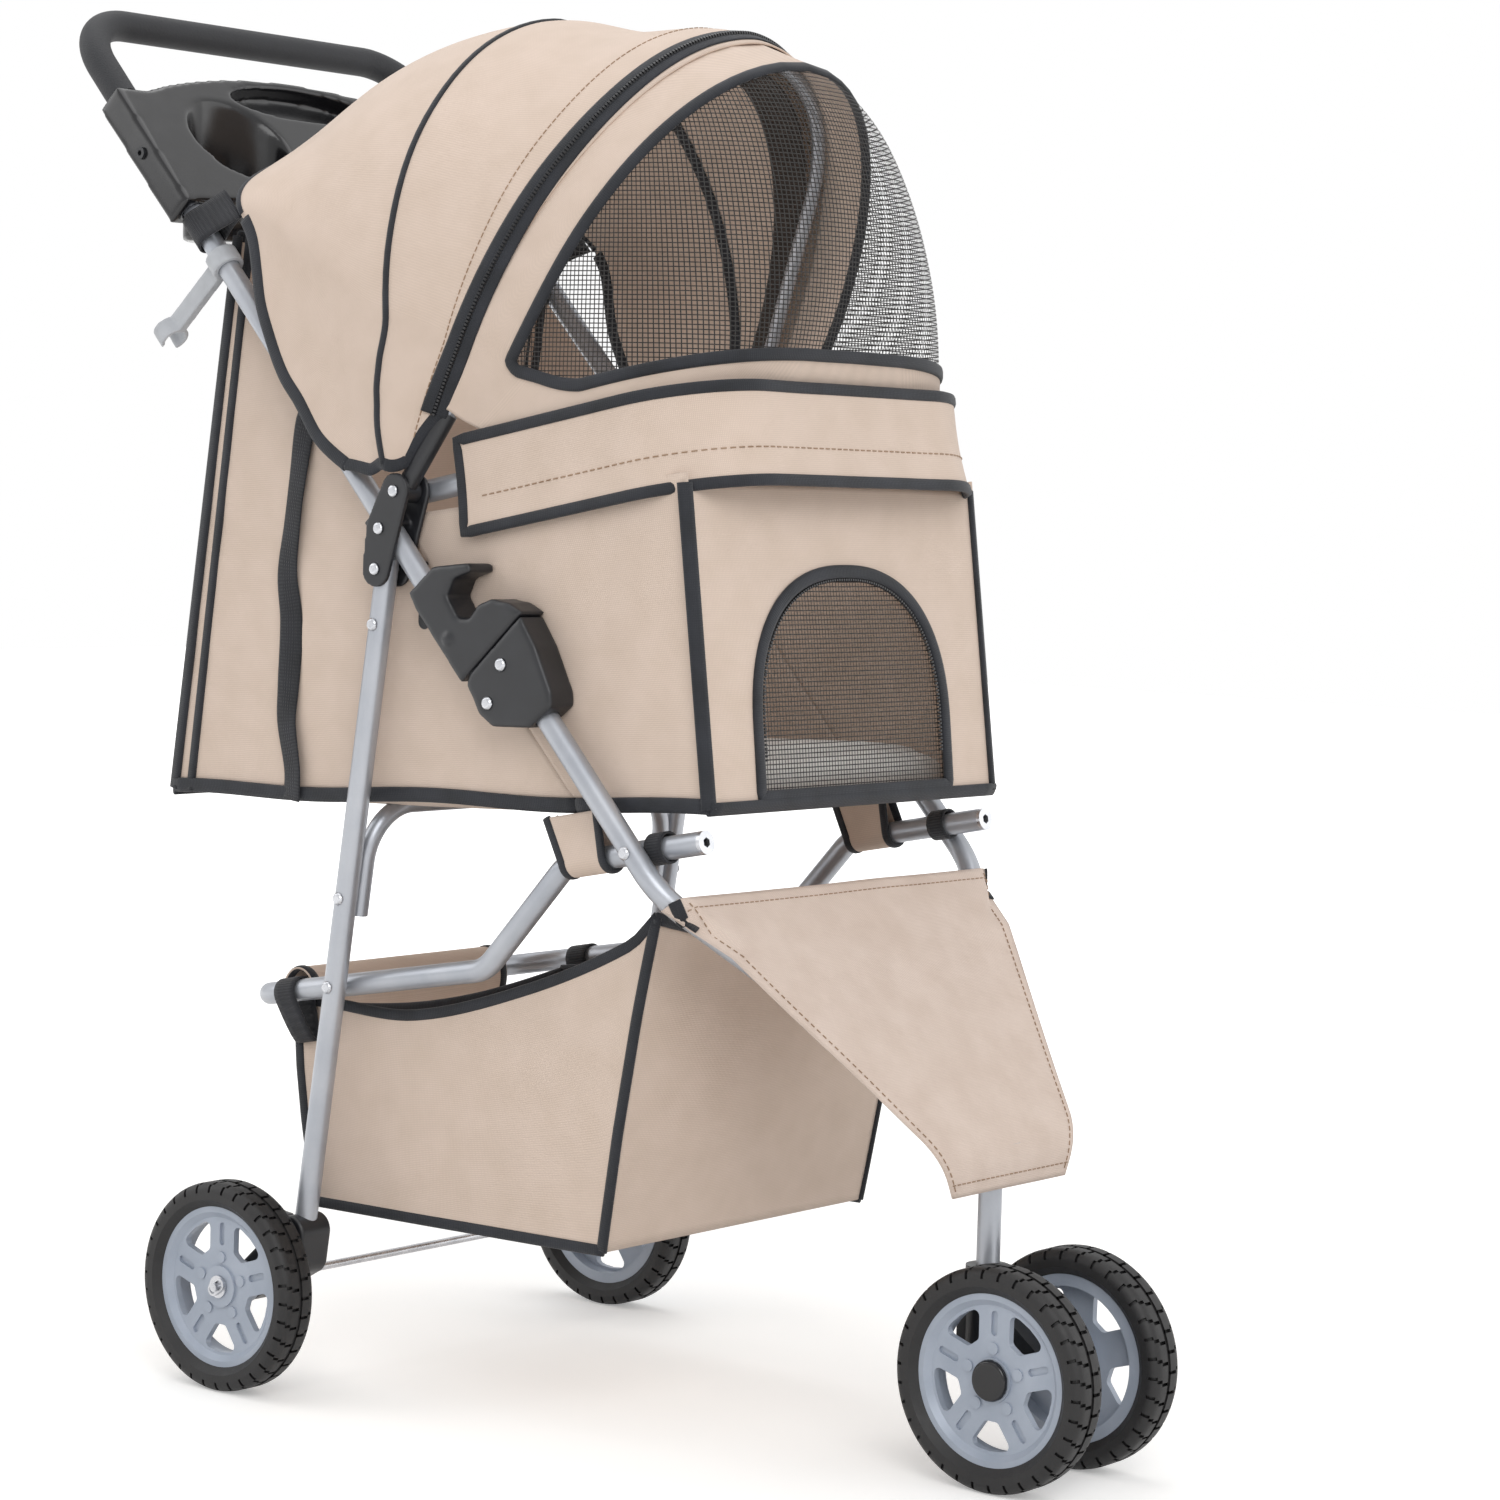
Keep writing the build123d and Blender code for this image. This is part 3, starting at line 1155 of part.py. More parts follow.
HOOD_HALF = PLATE_OUT + BRACKET_PLATE + RIVET_HEAD_H + FABRIC + GAP
HOOD_FOOT = BRACKET_END_R + 6.0
bow_half = HOOD_HALF - HOOD_PINCH
bow_top = BOW_TOP + HOOD_CREST
dip_half = HOOD_HALF - HOOD_PINCH / 2
back_power = (3 * HOOD_ROUND + HOOD_TENT) / 4
bow_foot = SOCKET_TOP
dip_foot = SOCKET_TOP / 2
hood_arches = [
    arch_sketch(BOW_ANGLE, bow_half, bow_foot, HOOD_BOW_SHOULDER, bow_top, BOW_ROUND),
    arch_sketch(HOOD_DIP_ANGLE, dip_half, dip_foot, HOOD_BOW_SHOULDER, HOOD_DIP_TOP, HOOD_ROUND),
    arch_sketch(HOOD_MID_ANGLE, HOOD_HALF, HOOD_FOOT, HOOD_MID_SHOULDER, HOOD_MID_TOP, HOOD_ROUND),
    arch_sketch(HOOD_BACK_ANGLE, HOOD_HALF, HOOD_FOOT, HOOD_BACK_SHOULDER, HOOD_BACK_TOP, back_power),
    arch_sketch(HOOD_REAR_ANGLE, HOOD_HALF, HOOD_FOOT, HOOD_REAR_SHOULDER, HOOD_REAR_TOP, HOOD_TENT),
]
with BuildPart() as hood:
    loft(hood_arches, ruled=True)
    for name, side in SIDES:
        flank = [
            away(BOW_PIVOT, HOOD_FOOT, HOOD_REAR_ANGLE + 4.0),
            away(BOW_PIVOT, FLANK_LOW_R / 2, HOOD_REAR_ANGLE - 8.0),
            away(BOW_PIVOT, FLANK_LOW_R, FLANK_LOW_ANGLE),
            away(BOW_PIVOT, FLANK_MID_R, FLANK_MID_ANGLE),
            away(BOW_PIVOT, HOOD_REAR_SHOULDER, HOOD_REAR_ANGLE),
            away(BOW_PIVOT, HOOD_REAR_SHOULDER - 2 * HOOD_FOOT, HOOD_REAR_ANGLE + 4.0),
        ]
        with BuildSketch(outward(side, HOOD_HALF - FABRIC)) as flank_face:
            Polygon(*[(side * y, z) for y, z in flank], align=None)
        extrude(flank_face.sketch, amount=FABRIC)
save(hood, "hood")

WINDOW_GAP_ANGLE = 0.6
window_half = HOOP_X + TUBE_R
window_mid_half = window_half + FABRIC
window_start = BOW_ANGLE + WINDOW_GAP_ANGLE
window_bow_half = bow_half - FABRIC
window_bow_foot = SOCKET_TOP + 4.0
window_crest = bow_top - 4.0
low_foot = WINDOW_FOOT_R + 6.0
crest_shape = (HOOD_BOW_SHOULDER, window_crest, BOW_ROUND)
front_shape = (WINDOW_FRONT_SHOULDER, WINDOW_FRONT_TOP, WINDOW_FULL)
foot_shape = (WINDOW_FOOT_SHOULDER, WINDOW_FOOT_TOP, WINDOW_SQUARE)
window_arches = [
    arch_sketch(window_start, window_bow_half, window_bow_foot, HOOD_BOW_SHOULDER, bow_top, BOW_ROUND),
    arch_sketch(WINDOW_CREST_ANGLE, window_mid_half, WINDOW_FOOT_R, *crest_shape),
    arch_sketch(WINDOW_FRONT_ANGLE, window_half, WINDOW_FOOT_R, *front_shape),
    arch_sketch(WINDOW_FOOT_ANGLE, window_half, low_foot, *foot_shape),
]
with BuildPart() as window_panel:
    loft(window_arches, ruled=True)
save(window_panel, "window_panel")

# Canopy bow: an arch of thin tube in the bow plane, held in a socket at each bracket
bow_turn = radians(BOW_TAPER)
bow_bend = BOW_SHOULDER / cos(bow_turn)
bow_shoulder = BOW_TOP - bow_bend * (1 - sin(bow_turn))
bow_foot_half = BOW_SHOULDER + (bow_shoulder - BOW_FOOT) * tan(bow_turn)
bow_plane = fan_plane(BOW_ANGLE)
with BuildPart() as canopy_bow:
    with BuildLine(bow_plane) as bow_route:
        Line((-bow_foot_half, BOW_FOOT), (-BOW_SHOULDER, bow_shoulder))
        ThreePointArc((-BOW_SHOULDER, bow_shoulder), (0, BOW_TOP), (BOW_SHOULDER, bow_shoulder))
        Line((BOW_SHOULDER, bow_shoulder), (bow_foot_half, BOW_FOOT))
    with BuildSketch(Plane(origin=bow_route.line @ 0, z_dir=bow_route.line % 0)):
        Circle(BOW_R)
        Circle(BOW_R - BOW_WALL, mode=Mode.SUBTRACT)
    sweep()
save(canopy_bow, "canopy_bow")

with BuildPart() as bow_sockets:
    for name, side in SIDES:
        foot = bow_plane.from_local_coords(Vector(side * bow_foot_half, BOW_FOOT, 0))
        top = bow_plane.from_local_coords(Vector(side * BOW_SHOULDER, bow_shoulder, 0))
        leg_direction = (top - foot).normalized()
        with BuildSketch(Plane(origin=foot - leg_direction * 0.6 * BOW_FOOT, z_dir=leg_direction)):
            Circle(SOCKET_BODY_R)
        extrude(amount=SOCKET_TOP - 0.4 * BOW_FOOT)
        with BuildSketch(outward(side, FRAME_X - SOCKET_BODY_R)):
            with Locations((side * BOW_PIVOT[0], BOW_PIVOT[1])):
                Circle(SOCKET_BODY_R + 1.0)
        extrude(amount=2 * SOCKET_BODY_R)
        with BuildSketch(Plane(origin=foot, z_dir=leg_direction)):
            Circle(BOW_R + FIT)
        extrude(amount=2 * SOCKET_TOP, mode=Mode.SUBTRACT)
        cross_hole(BOW_PIVOT, RIVET_R + FIT, PLATE_IN - 1, PLATE_OUT + 1, side)
save(bow_sockets, "bow_sockets")

# Basket: an open-topped cloth tray under the seat bar, its rim dipped between a tall front and the rear
basket_front_foot = (BASKET_FRONT_Y, BASKET_FLOOR_Z)
basket_rear_foot = (BASKET_REAR_Y, BASKET_FLOOR_Z)
basket_front_top = (BASKET_FRONT_Y - BASKET_LEAN, BASKET_FRONT_Z)
basket_rear_top = (BASKET_REAR_Y + BASKET_FLARE, BASKET_LIP_Z + BASKET_HORN)
front_slope = BASKET_LEAN / (BASKET_FRONT_Z - BASKET_FLOOR_Z)
rear_slope = BASKET_FLARE / (BASKET_LIP_Z + BASKET_HORN - BASKET_FLOOR_Z)
basket_over = BASKET_FRONT_Z + BASKET_HORN
with BuildPart() as basket:
    with BuildSketch(Plane.YZ.offset(-BASKET_HALF)):
        with BuildLine():
            Polyline(basket_rear_top, basket_rear_foot, basket_front_foot, basket_front_top)
            Spline(
                basket_front_top,
                (BASKET_FRONT_Y + BASKET_LEAN, BASKET_LIP_Z + 2 * BASKET_HORN),
                ((BASKET_FRONT_Y + BASKET_REAR_Y) / 2, BASKET_LIP_Z),
                basket_rear_top,
            )
        make_face()
    extrude(amount=2 * BASKET_HALF)
    with BuildSketch(Plane.YZ.offset(BASKET_WALL - BASKET_HALF)):
        Polygon(
            (BASKET_FRONT_Y + BASKET_WALL - BASKET_WALL * front_slope, BASKET_FLOOR_Z + BASKET_WALL),
            (BASKET_REAR_Y - BASKET_WALL + BASKET_WALL * rear_slope, BASKET_FLOOR_Z + BASKET_WALL),
            (BASKET_REAR_Y - BASKET_WALL + (basket_over - BASKET_FLOOR_Z) * rear_slope, basket_over),
            (BASKET_FRONT_Y + BASKET_WALL - (basket_over - BASKET_FLOOR_Z) * front_slope, basket_over),
            align=None,
        )
    extrude(amount=2 * (BASKET_HALF - BASKET_WALL), mode=Mode.SUBTRACT)
save(basket, "basket")

# Seat loops: cloth rings round the seat bar that hang the cabin floor and the basket
LOOP_R = TUBE_R + FIT
with BuildPart() as seat_loops:
    for name, side in SIDES:
        front_run = away(FRONT_PIVOT, SEAT_LOOP_RUN, -SEAT_FRONT_TILT)
        loop_dir = (0, cos(radians(SEAT_FRONT_TILT)), -sin(radians(SEAT_FRONT_TILT)))
        floor_above = CABIN_FRONT_Z + FLOOR_SLOPE * (front_run[0] - CABIN_FRONT_Y) - front_run[1] - GAP
        tab_plane = Plane(origin=place(side * SEAT_X, front_run), x_dir=(1, 0, 0), z_dir=loop_dir)
        with BuildSketch(tab_plane):
            Circle(LOOP_R + LOOP_WALL)
            with Locations((0, -floor_above / 2)):
                Rectangle(LOOP_WALL, floor_above - 4 * LOOP_WALL)
            Circle(LOOP_R, mode=Mode.SUBTRACT)
        extrude(amount=SEAT_LOOP_WIDTH - 2 * LOOP_WALL)
        for run in (-0.55 * SEAT_REAR_RUN, SEAT_MID_RUN / 2):
            point = away(SEAT_PIVOT, -run, -SEAT_TILT)
            hang = point[1] - BASKET_LIP_Z + 2 * LOOP_WALL
            inner = SEAT_X - BASKET_HALF
            rear_dir = (0, -cos(radians(SEAT_TILT)), sin(radians(SEAT_TILT)))
            with BuildSketch(Plane(origin=place(side * SEAT_X, point), x_dir=(1, 0, 0), z_dir=rear_dir)):
                Circle(LOOP_R + LOOP_WALL)
                with Locations((-side * (inner - LOOP_WALL / 2 - GAP), -hang / 2)):
                    Rectangle(LOOP_WALL, hang)
                with Locations((-side * (inner + LOOP_R - GAP) / 2, 0)):
                    Rectangle(inner - LOOP_R - GAP, LOOP_WALL)
                Circle(LOOP_R, mode=Mode.SUBTRACT)
            extrude(amount=SEAT_LOOP_WIDTH / 2)
save(seat_loops, "seat_loops")

# Zipper pull: a moulded tab hanging by its cord on the right side of the cabin
PULL_TOP = (LEG_PIVOT[0] - 3 * TUBE_R, LEG_PIVOT[1] + 4.0)
with BuildPart() as zipper_pull:
    with BuildSketch(outward(-1, CABIN_HALF + GAP)):
        with Locations((-PULL_TOP[0], PULL_TOP[1])):
            Circle(2.0)
        with Locations((-PULL_TOP[0], PULL_TOP[1] - PULL_LENGTH / 4)):
            Rectangle(2.0, PULL_LENGTH / 2)
        with Locations((-PULL_TOP[0], PULL_TOP[1] - 0.75 * PULL_LENGTH)):
            SlotOverall(PULL_LENGTH / 2 + 2.0, PULL_WIDTH, rotation=90)
    extrude(amount=PULL_THICK)
save(zipper_pull, "zipper_pull")
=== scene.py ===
import json
from math import atan2, copysign, cos, hypot, pi, radians, sin

import bmesh
import bpy
from mathutils import Matrix, Vector, noise

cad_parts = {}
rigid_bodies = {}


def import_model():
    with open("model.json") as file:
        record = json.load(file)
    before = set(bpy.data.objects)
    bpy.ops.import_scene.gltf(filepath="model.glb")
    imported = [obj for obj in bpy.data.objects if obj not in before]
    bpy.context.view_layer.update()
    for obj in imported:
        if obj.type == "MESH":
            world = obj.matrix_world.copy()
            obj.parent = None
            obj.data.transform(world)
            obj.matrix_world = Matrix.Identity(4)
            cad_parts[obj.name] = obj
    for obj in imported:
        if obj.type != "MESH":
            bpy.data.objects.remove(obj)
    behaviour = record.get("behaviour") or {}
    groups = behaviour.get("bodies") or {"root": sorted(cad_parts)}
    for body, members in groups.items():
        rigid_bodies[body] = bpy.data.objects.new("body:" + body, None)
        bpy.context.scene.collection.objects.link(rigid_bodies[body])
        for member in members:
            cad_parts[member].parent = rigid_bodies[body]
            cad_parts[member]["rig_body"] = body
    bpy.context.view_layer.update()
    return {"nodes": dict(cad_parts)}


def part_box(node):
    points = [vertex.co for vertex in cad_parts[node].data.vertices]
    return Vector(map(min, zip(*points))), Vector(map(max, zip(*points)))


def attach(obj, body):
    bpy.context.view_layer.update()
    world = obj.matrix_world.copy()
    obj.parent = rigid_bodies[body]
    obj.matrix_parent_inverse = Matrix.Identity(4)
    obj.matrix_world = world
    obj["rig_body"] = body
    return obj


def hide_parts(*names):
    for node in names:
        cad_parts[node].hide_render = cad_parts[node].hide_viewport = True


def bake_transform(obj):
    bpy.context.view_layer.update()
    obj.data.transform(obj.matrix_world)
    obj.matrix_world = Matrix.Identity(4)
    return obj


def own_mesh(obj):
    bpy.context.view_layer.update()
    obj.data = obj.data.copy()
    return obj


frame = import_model()
bpy.ops.object.select_all(action="DESELECT")

# Camera: a long lens in front of the stroller's right side, a little above the cabin floor.
# Its place and turn were worked out from the wheels, the tubes and the pivots of the frame.
CAMERA_PLACE = (-2.07727, -1.76886, 0.65221)
CAMERA_BACK = Vector((-0.77778, -0.62486, 0.06780))
CAMERA_AZIMUTH = radians(-51.22)
CAMERA_ROLL = radians(1.64)
CAMERA_LENS = 91.18
SENSOR_WIDE = 36.0


def placed(name, data):
    """New object with its own data, in the scene at the origin."""
    piece = bpy.data.objects.new(name, data)
    bpy.context.collection.objects.link(piece)
    return piece


camera_side = Vector((cos(CAMERA_AZIMUTH), sin(CAMERA_AZIMUTH), 0.0))
camera_rise = CAMERA_BACK.cross(camera_side)
camera_x = camera_side * cos(CAMERA_ROLL) + camera_rise * sin(CAMERA_ROLL)
camera_y = camera_rise * cos(CAMERA_ROLL) - camera_side * sin(CAMERA_ROLL)
camera_data = bpy.data.cameras.new("camera")
camera_data.lens = CAMERA_LENS
camera_data.sensor_width = SENSOR_WIDE
camera = placed("camera", camera_data)
camera_rows = [(camera_x[i], camera_y[i], CAMERA_BACK[i], CAMERA_PLACE[i]) for i in range(3)]
camera.matrix_world = Matrix(camera_rows + [(0.0, 0.0, 0.0, 1.0)])
bpy.context.scene.camera = camera

# Frame tubes: round steel tube, bent cold, drilled for its rivets and powder-coated silver.
# The nine tubes and the front yoke have the same coat.
MM = 0.001


def screen_colour(text):
    """Linear colour from a six-digit sRGB value."""
    parts = [int(text[i:i + 2], 16) / 255 for i in (0, 2, 4)]
    return [c / 12.92 if c <= 0.04045 else ((c + 0.055) / 1.055) ** 2.4 for c in parts] + [1.0]


def add_node(tree, kind, sockets, **settings):
    """Add a node, or take one that is there, and give it its settings, values and links."""
    node = tree.nodes.new(kind) if isinstance(kind, str) else kind
    for name, value in settings.items():
        setattr(node, name, value)
    for socket, value in sockets.items():
        if isinstance(value, bpy.types.NodeSocket):
            tree.links.new(value, node.inputs[socket])
        else:
            node.inputs[socket].default_value = value
    return node


def new_finish(name):
    """Material with its tree, its shader and the coordinates of the piece it is on."""
    material = bpy.data.materials.new(name)
    material.use_nodes = True
    tree = material.node_tree
    place = add_node(tree, "ShaderNodeTexCoord", {})
    return material, tree, tree.nodes["Principled BSDF"], place.outputs


def hard_finish(name, light, dark, rough, metal=0.0, cloud=30.0, grain=1.0, relief=0.1):
    """Coated metal or moulded plastic: tone that drifts over a cloud of so many millimetres,
    gloss that changes from place to place, and a grain that breaks up the highlights."""
    material, tree, shader, place = new_finish(name)
    drift = add_node(tree, "ShaderNodeTexNoise", {
        "Vector": place["Object"], "Scale": 1 / (cloud * MM), "Detail": 5.0, "Roughness": 0.6})
    tone = add_node(tree, "ShaderNodeMapRange", {
        "Value": drift.outputs["Fac"], "From Min": 0.3, "From Max": 0.7})
    colour = add_node(tree, "ShaderNodeMix", {
        0: tone.outputs[0], 6: screen_colour(dark), 7: screen_colour(light)}, data_type="RGBA")
    rub = add_node(tree, "ShaderNodeTexNoise", {
        "Vector": place["Object"], "Scale": 1 / (0.25 * cloud * MM), "Detail": 4.0})
    gloss = add_node(tree, "ShaderNodeMapRange", {
        "Value": rub.outputs["Fac"], "To Min": rough - 0.09, "To Max": rough + 0.10})
    pebble = add_node(tree, "ShaderNodeTexNoise", {
        "Vector": place["Object"], "Scale": 1 / (grain * MM), "Detail": 2.0})
    skin = add_node(tree, "ShaderNodeBump", {
        "Height": pebble.outputs["Fac"], "Strength": relief, "Distance": 0.4 * grain * MM})
    add_node(tree, shader, {
        "Base Color": colour.outputs[2], "Roughness": gloss.outputs[0],
        "Normal": skin.outputs[0], "Metallic": metal})
    return material


def finish_nodes(material, *names):
    """Give solids of the frame their material."""
    for name in names:
        node = frame["nodes"][name]
        node.data.materials.clear()
        node.data.materials.append(material)


# Powder coat: satin and slightly metallic, with the pebbled skin of melted powder, drawn at 1.2 mm to show
silver_coat = hard_finish("silver_powder_coat", "B3B6BC", "A2A6AE", 0.36, 0.55, 40.0, 1.2, 0.05)
finish_nodes(
    silver_coat, "rear_leg_right", "rear_leg_left", "rear_cross_bar", "handle_tube", "front_tube_right",
    "front_tube_left", "seat_bar", "cabin_hoop", "canopy_bow", "front_yoke")

# Rivets, axles and end caps: turned or drawn steel, zinc-plated, set or pushed in cold.
# The rivet heads are domed by the setting tool, so each row is a softened copy of its solids.
MERGE = 0.02


def settle(piece):
    """Apply every modifier of a piece in turn."""
    bpy.context.view_layer.objects.active = piece
    for modifier in list(piece.modifiers):
        bpy.ops.object.modifier_apply(modifier=modifier.name)


def skinned_copy(node_name, voxel, share=None):
    """Copy of a solid under one even skin, drawn in to a share of its size where one is given."""
    low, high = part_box(node_name)
    piece = placed(node_name + "_soft", frame["nodes"][node_name].data.copy())
    bpy.ops.object.select_all(action="DESELECT")
    piece.select_set(True)
    bpy.context.view_layer.objects.active = piece
    bpy.ops.object.mode_set(mode="EDIT")
    bpy.ops.mesh.select_all(action="SELECT")
    bpy.ops.mesh.remove_doubles(threshold=MERGE * MM)
    if share:
        bpy.ops.transform.resize(value=share, center_override=(Vector(low) + Vector(high)) / 2)
    bpy.ops.object.mode_set(mode="OBJECT")
    skin = piece.modifiers.new("skin", "REMESH")
    skin.mode = "VOXEL"
    skin.voxel_size = voxel * MM
    settle(piece)
    return piece


def softened_copy(node_name, voxel, passes):
    """Copy of a solid with its edges rounded over by so many passes; it stands for the solid."""
    piece = skinned_copy(node_name, voxel)
    rub = piece.modifiers.new("rub", "SMOOTH")
    rub.factor = 0.5
    rub.iterations = passes
    settle(piece)
    bpy.ops.object.shade_smooth()
    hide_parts(node_name)
    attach(piece, frame["nodes"][node_name]["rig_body"])
    return piece


def dress(piece, material, body=None):
    """Give a new piece its material and, where one is named, its body."""
    piece.data.materials.clear()
    piece.data.materials.append(material)
    if body:
        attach(piece, body)
    return piece


# Zinc plate: bright, nearly white metal with a faint cloud from the bath
zinc_plate = hard_finish("zinc_plated_steel", "CFD0D4", "B4B6BB", 0.28, 0.9, 12.0, 0.8, 0.04)
finish_nodes(zinc_plate, "rear_axle", "front_axle", "axle_clips", "seat_bar_caps")
for row in ("bracket_rivets", "housing_rivets", "rear_rivets"):
    dress(softened_copy(row, 0.7, 5), zinc_plate)

# Brackets, sockets, pedals, fork, locks and zipper pull: injection-moulded black nylon.
# The plates clasp the tubes and are riveted through; the sliders run on the upper tubes.
MOULDINGS = (
    ("frame_bracket_", 1.2, 5), ("brake_pedal_", 1.3, 6), ("lock_housing_", 1.5, 9), ("lock_slider_", 1.5, 9))
# Moulded nylon: charcoal, satin, with the fine spark-eroded grain of the mould, drawn at 1 mm to show
black_nylon = hard_finish("black_moulded_nylon", "232428", "1B1C1F", 0.40, 0.0, 25.0, 1.0, 0.10)
finish_nodes(
    black_nylon, "rear_bracket_right", "rear_bracket_left", "bow_sockets", "caster_fork", "zipper_pull")
for name in ("right", "left"):
    for moulding, voxel, passes in MOULDINGS:
        dress(softened_copy(moulding + name, voxel, passes), black_nylon)

# Wheel rims and hub caps: five-spoke rims moulded in grey ABS, with a boss and a slot on each spoke.
# The front hubs are closed by domed caps in gloss black, pressed in.
# Moulded ABS: blue-grey, even, with soft highlights
grey_abs = hard_finish("grey_moulded_abs", "A9B1BE", "9AA3B1", 0.40, 0.1, 35.0, 1.1, 0.05)
finish_nodes(grey_abs, "rear_rim_right", "rear_rim_left", "front_rim_right", "front_rim_left")
# Polished ABS: near black, with clear reflections
gloss_abs = hard_finish("gloss_black_abs", "1C1C1F", "161618", 0.14, 0.0, 30.0, 1.5, 0.01)
for name in ("right", "left"):
    dress(softened_copy("front_hub_cap_" + name, 0.9, 16), gloss_abs)

# Tyres: rings of moulded EVA foam, stretched over the rims, with two rows of slanted tread blocks.
# One ring is spun from its section, its grooves are sunk between the blocks, and it is copied.
TREAD_BLOCKS = 34
BLOCK_STEPS = 6
TREAD_STEPS = TREAD_BLOCKS * BLOCK_STEPS
TYRE_WIDE = 30.0
TYRE_TALL = 17.3
TYRE_MID_R = 66.3
SHOULDER_R = 7.0
SEAT_CUT = 5.1
FLANK_LONG = 4.0
FLANK_LOW = 60.0
GROOVE_DEEP = 2.3
GROOVE_R = 67.5
GROOVE_FROM = 2.0
GROOVE_SLANT = 5.0
CENTRE_DEEP = 1.2
CENTRE_R = 74.0
CENTRE_HALF = 1.7
REAR_WHEEL = (209.4, 197.8, 75.0)
FRONT_WHEEL = (45.6, -360.8, 75.0)
axle_place = Vector((-REAR_WHEEL[0], REAR_WHEEL[1], REAR_WHEEL[2])) * MM
section_place = axle_place + Vector((0.0, 0.0, TYRE_MID_R * MM))
corner_x = (TYRE_WIDE / 2 - 0.1) * MM
bpy.ops.object.select_all(action="DESELECT")
bpy.ops.mesh.primitive_plane_add(size=1.0, location=section_place, rotation=(pi / 2, 0.0, 0.0))
ring = bpy.context.active_object
bpy.ops.object.transform_apply(location=True, rotation=True, scale=True)
bpy.ops.object.mode_set(mode="EDIT")
bpy.ops.mesh.select_mode(type="VERT")
bpy.ops.mesh.select_all(action="SELECT")
bpy.ops.transform.resize(value=(TYRE_WIDE * MM, 1.0, TYRE_TALL * MM), center_override=section_place)
for upper, cut, steps in ((True, SHOULDER_R, 5), (False, SEAT_CUT, 1)):
    form = bmesh.from_edit_mesh(ring.data)
    form.select_mode = {"VERT"}
    for corner in form.verts:
        outer = abs(corner.co.x - axle_place.x) > corner_x
        corner.select_set((corner.co.z > section_place.z) == upper and outer)
    form.select_flush_mode()
    bmesh.update_edit_mesh(ring.data)
    bpy.ops.mesh.bevel(offset=cut * MM, segments=steps, affect="VERTICES")
bpy.ops.mesh.select_all(action="SELECT")
bpy.ops.mesh.delete(type="ONLY_FACE")
form = bmesh.from_edit_mesh(ring.data)
for side_edge in form.edges:
    high = side_edge.verts[0].co.z > FLANK_LOW * MM + axle_place.z
    side_edge.select_set(side_edge.calc_length() > FLANK_LONG * MM and high)
bmesh.update_edit_mesh(ring.data)
bpy.ops.mesh.subdivide(number_cuts=4)
bpy.ops.mesh.select_all(action="SELECT")
bpy.ops.mesh.spin(steps=TREAD_STEPS, angle=2 * pi, center=axle_place, axis=(1.0, 0.0, 0.0))
bpy.ops.mesh.select_all(action="SELECT")
bpy.ops.mesh.remove_doubles(threshold=MERGE * MM)
bpy.ops.mesh.normals_make_consistent(inside=False)
for part, deep in (("blocks", GROOVE_DEEP), ("centre", CENTRE_DEEP)):
    bpy.ops.mesh.select_mode(type="FACE")
    bpy.ops.mesh.select_all(action="DESELECT")
    form = bmesh.from_edit_mesh(ring.data)
    for face in form.faces:
        spot = face.calc_center_median() - axle_place
        wide = spot.x / MM
        step = atan2(spot.z, spot.y) / (2 * pi) * TREAD_STEPS + abs(wide) / GROOVE_SLANT
        step += BLOCK_STEPS / 2 if wide < 0 else 0.0
        tall = hypot(spot.y, spot.z) / MM
        if part == "blocks":
            groove = int(step + 10 * TREAD_STEPS) % BLOCK_STEPS == 0
            face.select_set(tall > GROOVE_R and abs(wide) > GROOVE_FROM and groove)
        else:
            face.select_set(tall > CENTRE_R and abs(wide) < CENTRE_HALF)
    bmesh.update_edit_mesh(ring.data)
    bpy.ops.mesh.extrude_region_shrink_fatten(TRANSFORM_OT_shrink_fatten={"value": -deep * MM})
bpy.ops.object.mode_set(mode="OBJECT")
bpy.ops.object.shade_smooth_by_angle(angle=radians(38))
# EVA foam: soft black, dull, with a faint bloom and pores, drawn at 1.6 mm to show
eva_foam = hard_finish("moulded_eva_foam", "1F1E1F", "161516", 0.55, 0.0, 20.0, 1.6, 0.22)
for side_name, side in (("right", -1), ("left", 1)):
    for end, hub in (("rear", REAR_WHEEL), ("front", FRONT_WHEEL)):
        tyre = ring
        if (side_name, end) != ("right", "rear"):
            tyre = placed(end + "_tread_" + side_name, ring.data.copy())
            tyre.data.transform(Matrix.Translation(Vector((side * hub[0], hub[1], hub[2])) * MM - axle_place))
        tyre.name = end + "_tread_" + side_name
        dress(tyre, eva_foam, end + "_wheel_" + side_name)
        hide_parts(end + "_tyre_" + side_name)

# Push grip: a sleeve of closed-cell foam over the push bar and the tops of its legs.
# It is a length of foam tube, slid on and held by its own grip.
# Cut foam: matt charcoal with open pores, drawn at 1.4 mm to show
sleeve_foam, tree, shader, place = new_finish("closed_cell_foam")
pores = add_node(tree, "ShaderNodeTexVoronoi", {"Vector": place["Object"], "Scale": 1 / (1.4 * MM)})
cloud = add_node(tree, "ShaderNodeTexNoise", {
    "Vector": place["Object"], "Scale": 1 / (25 * MM), "Detail": 4.0})
shade = add_node(tree, "ShaderNodeMix", {
    0: cloud.outputs["Fac"], 6: screen_colour("1D1E21"), 7: screen_colour("2A2B2F")}, data_type="RGBA")
pits = add_node(tree, "ShaderNodeBump", {
    "Height": pores.outputs["Distance"], "Strength": 0.35, "Distance": 0.6 * MM})
add_node(tree, shader, {"Base Color": shade.outputs[2], "Normal": pits.outputs[0], "Roughness": 0.66})
finish_nodes(sleeve_foam, "handle_grip")

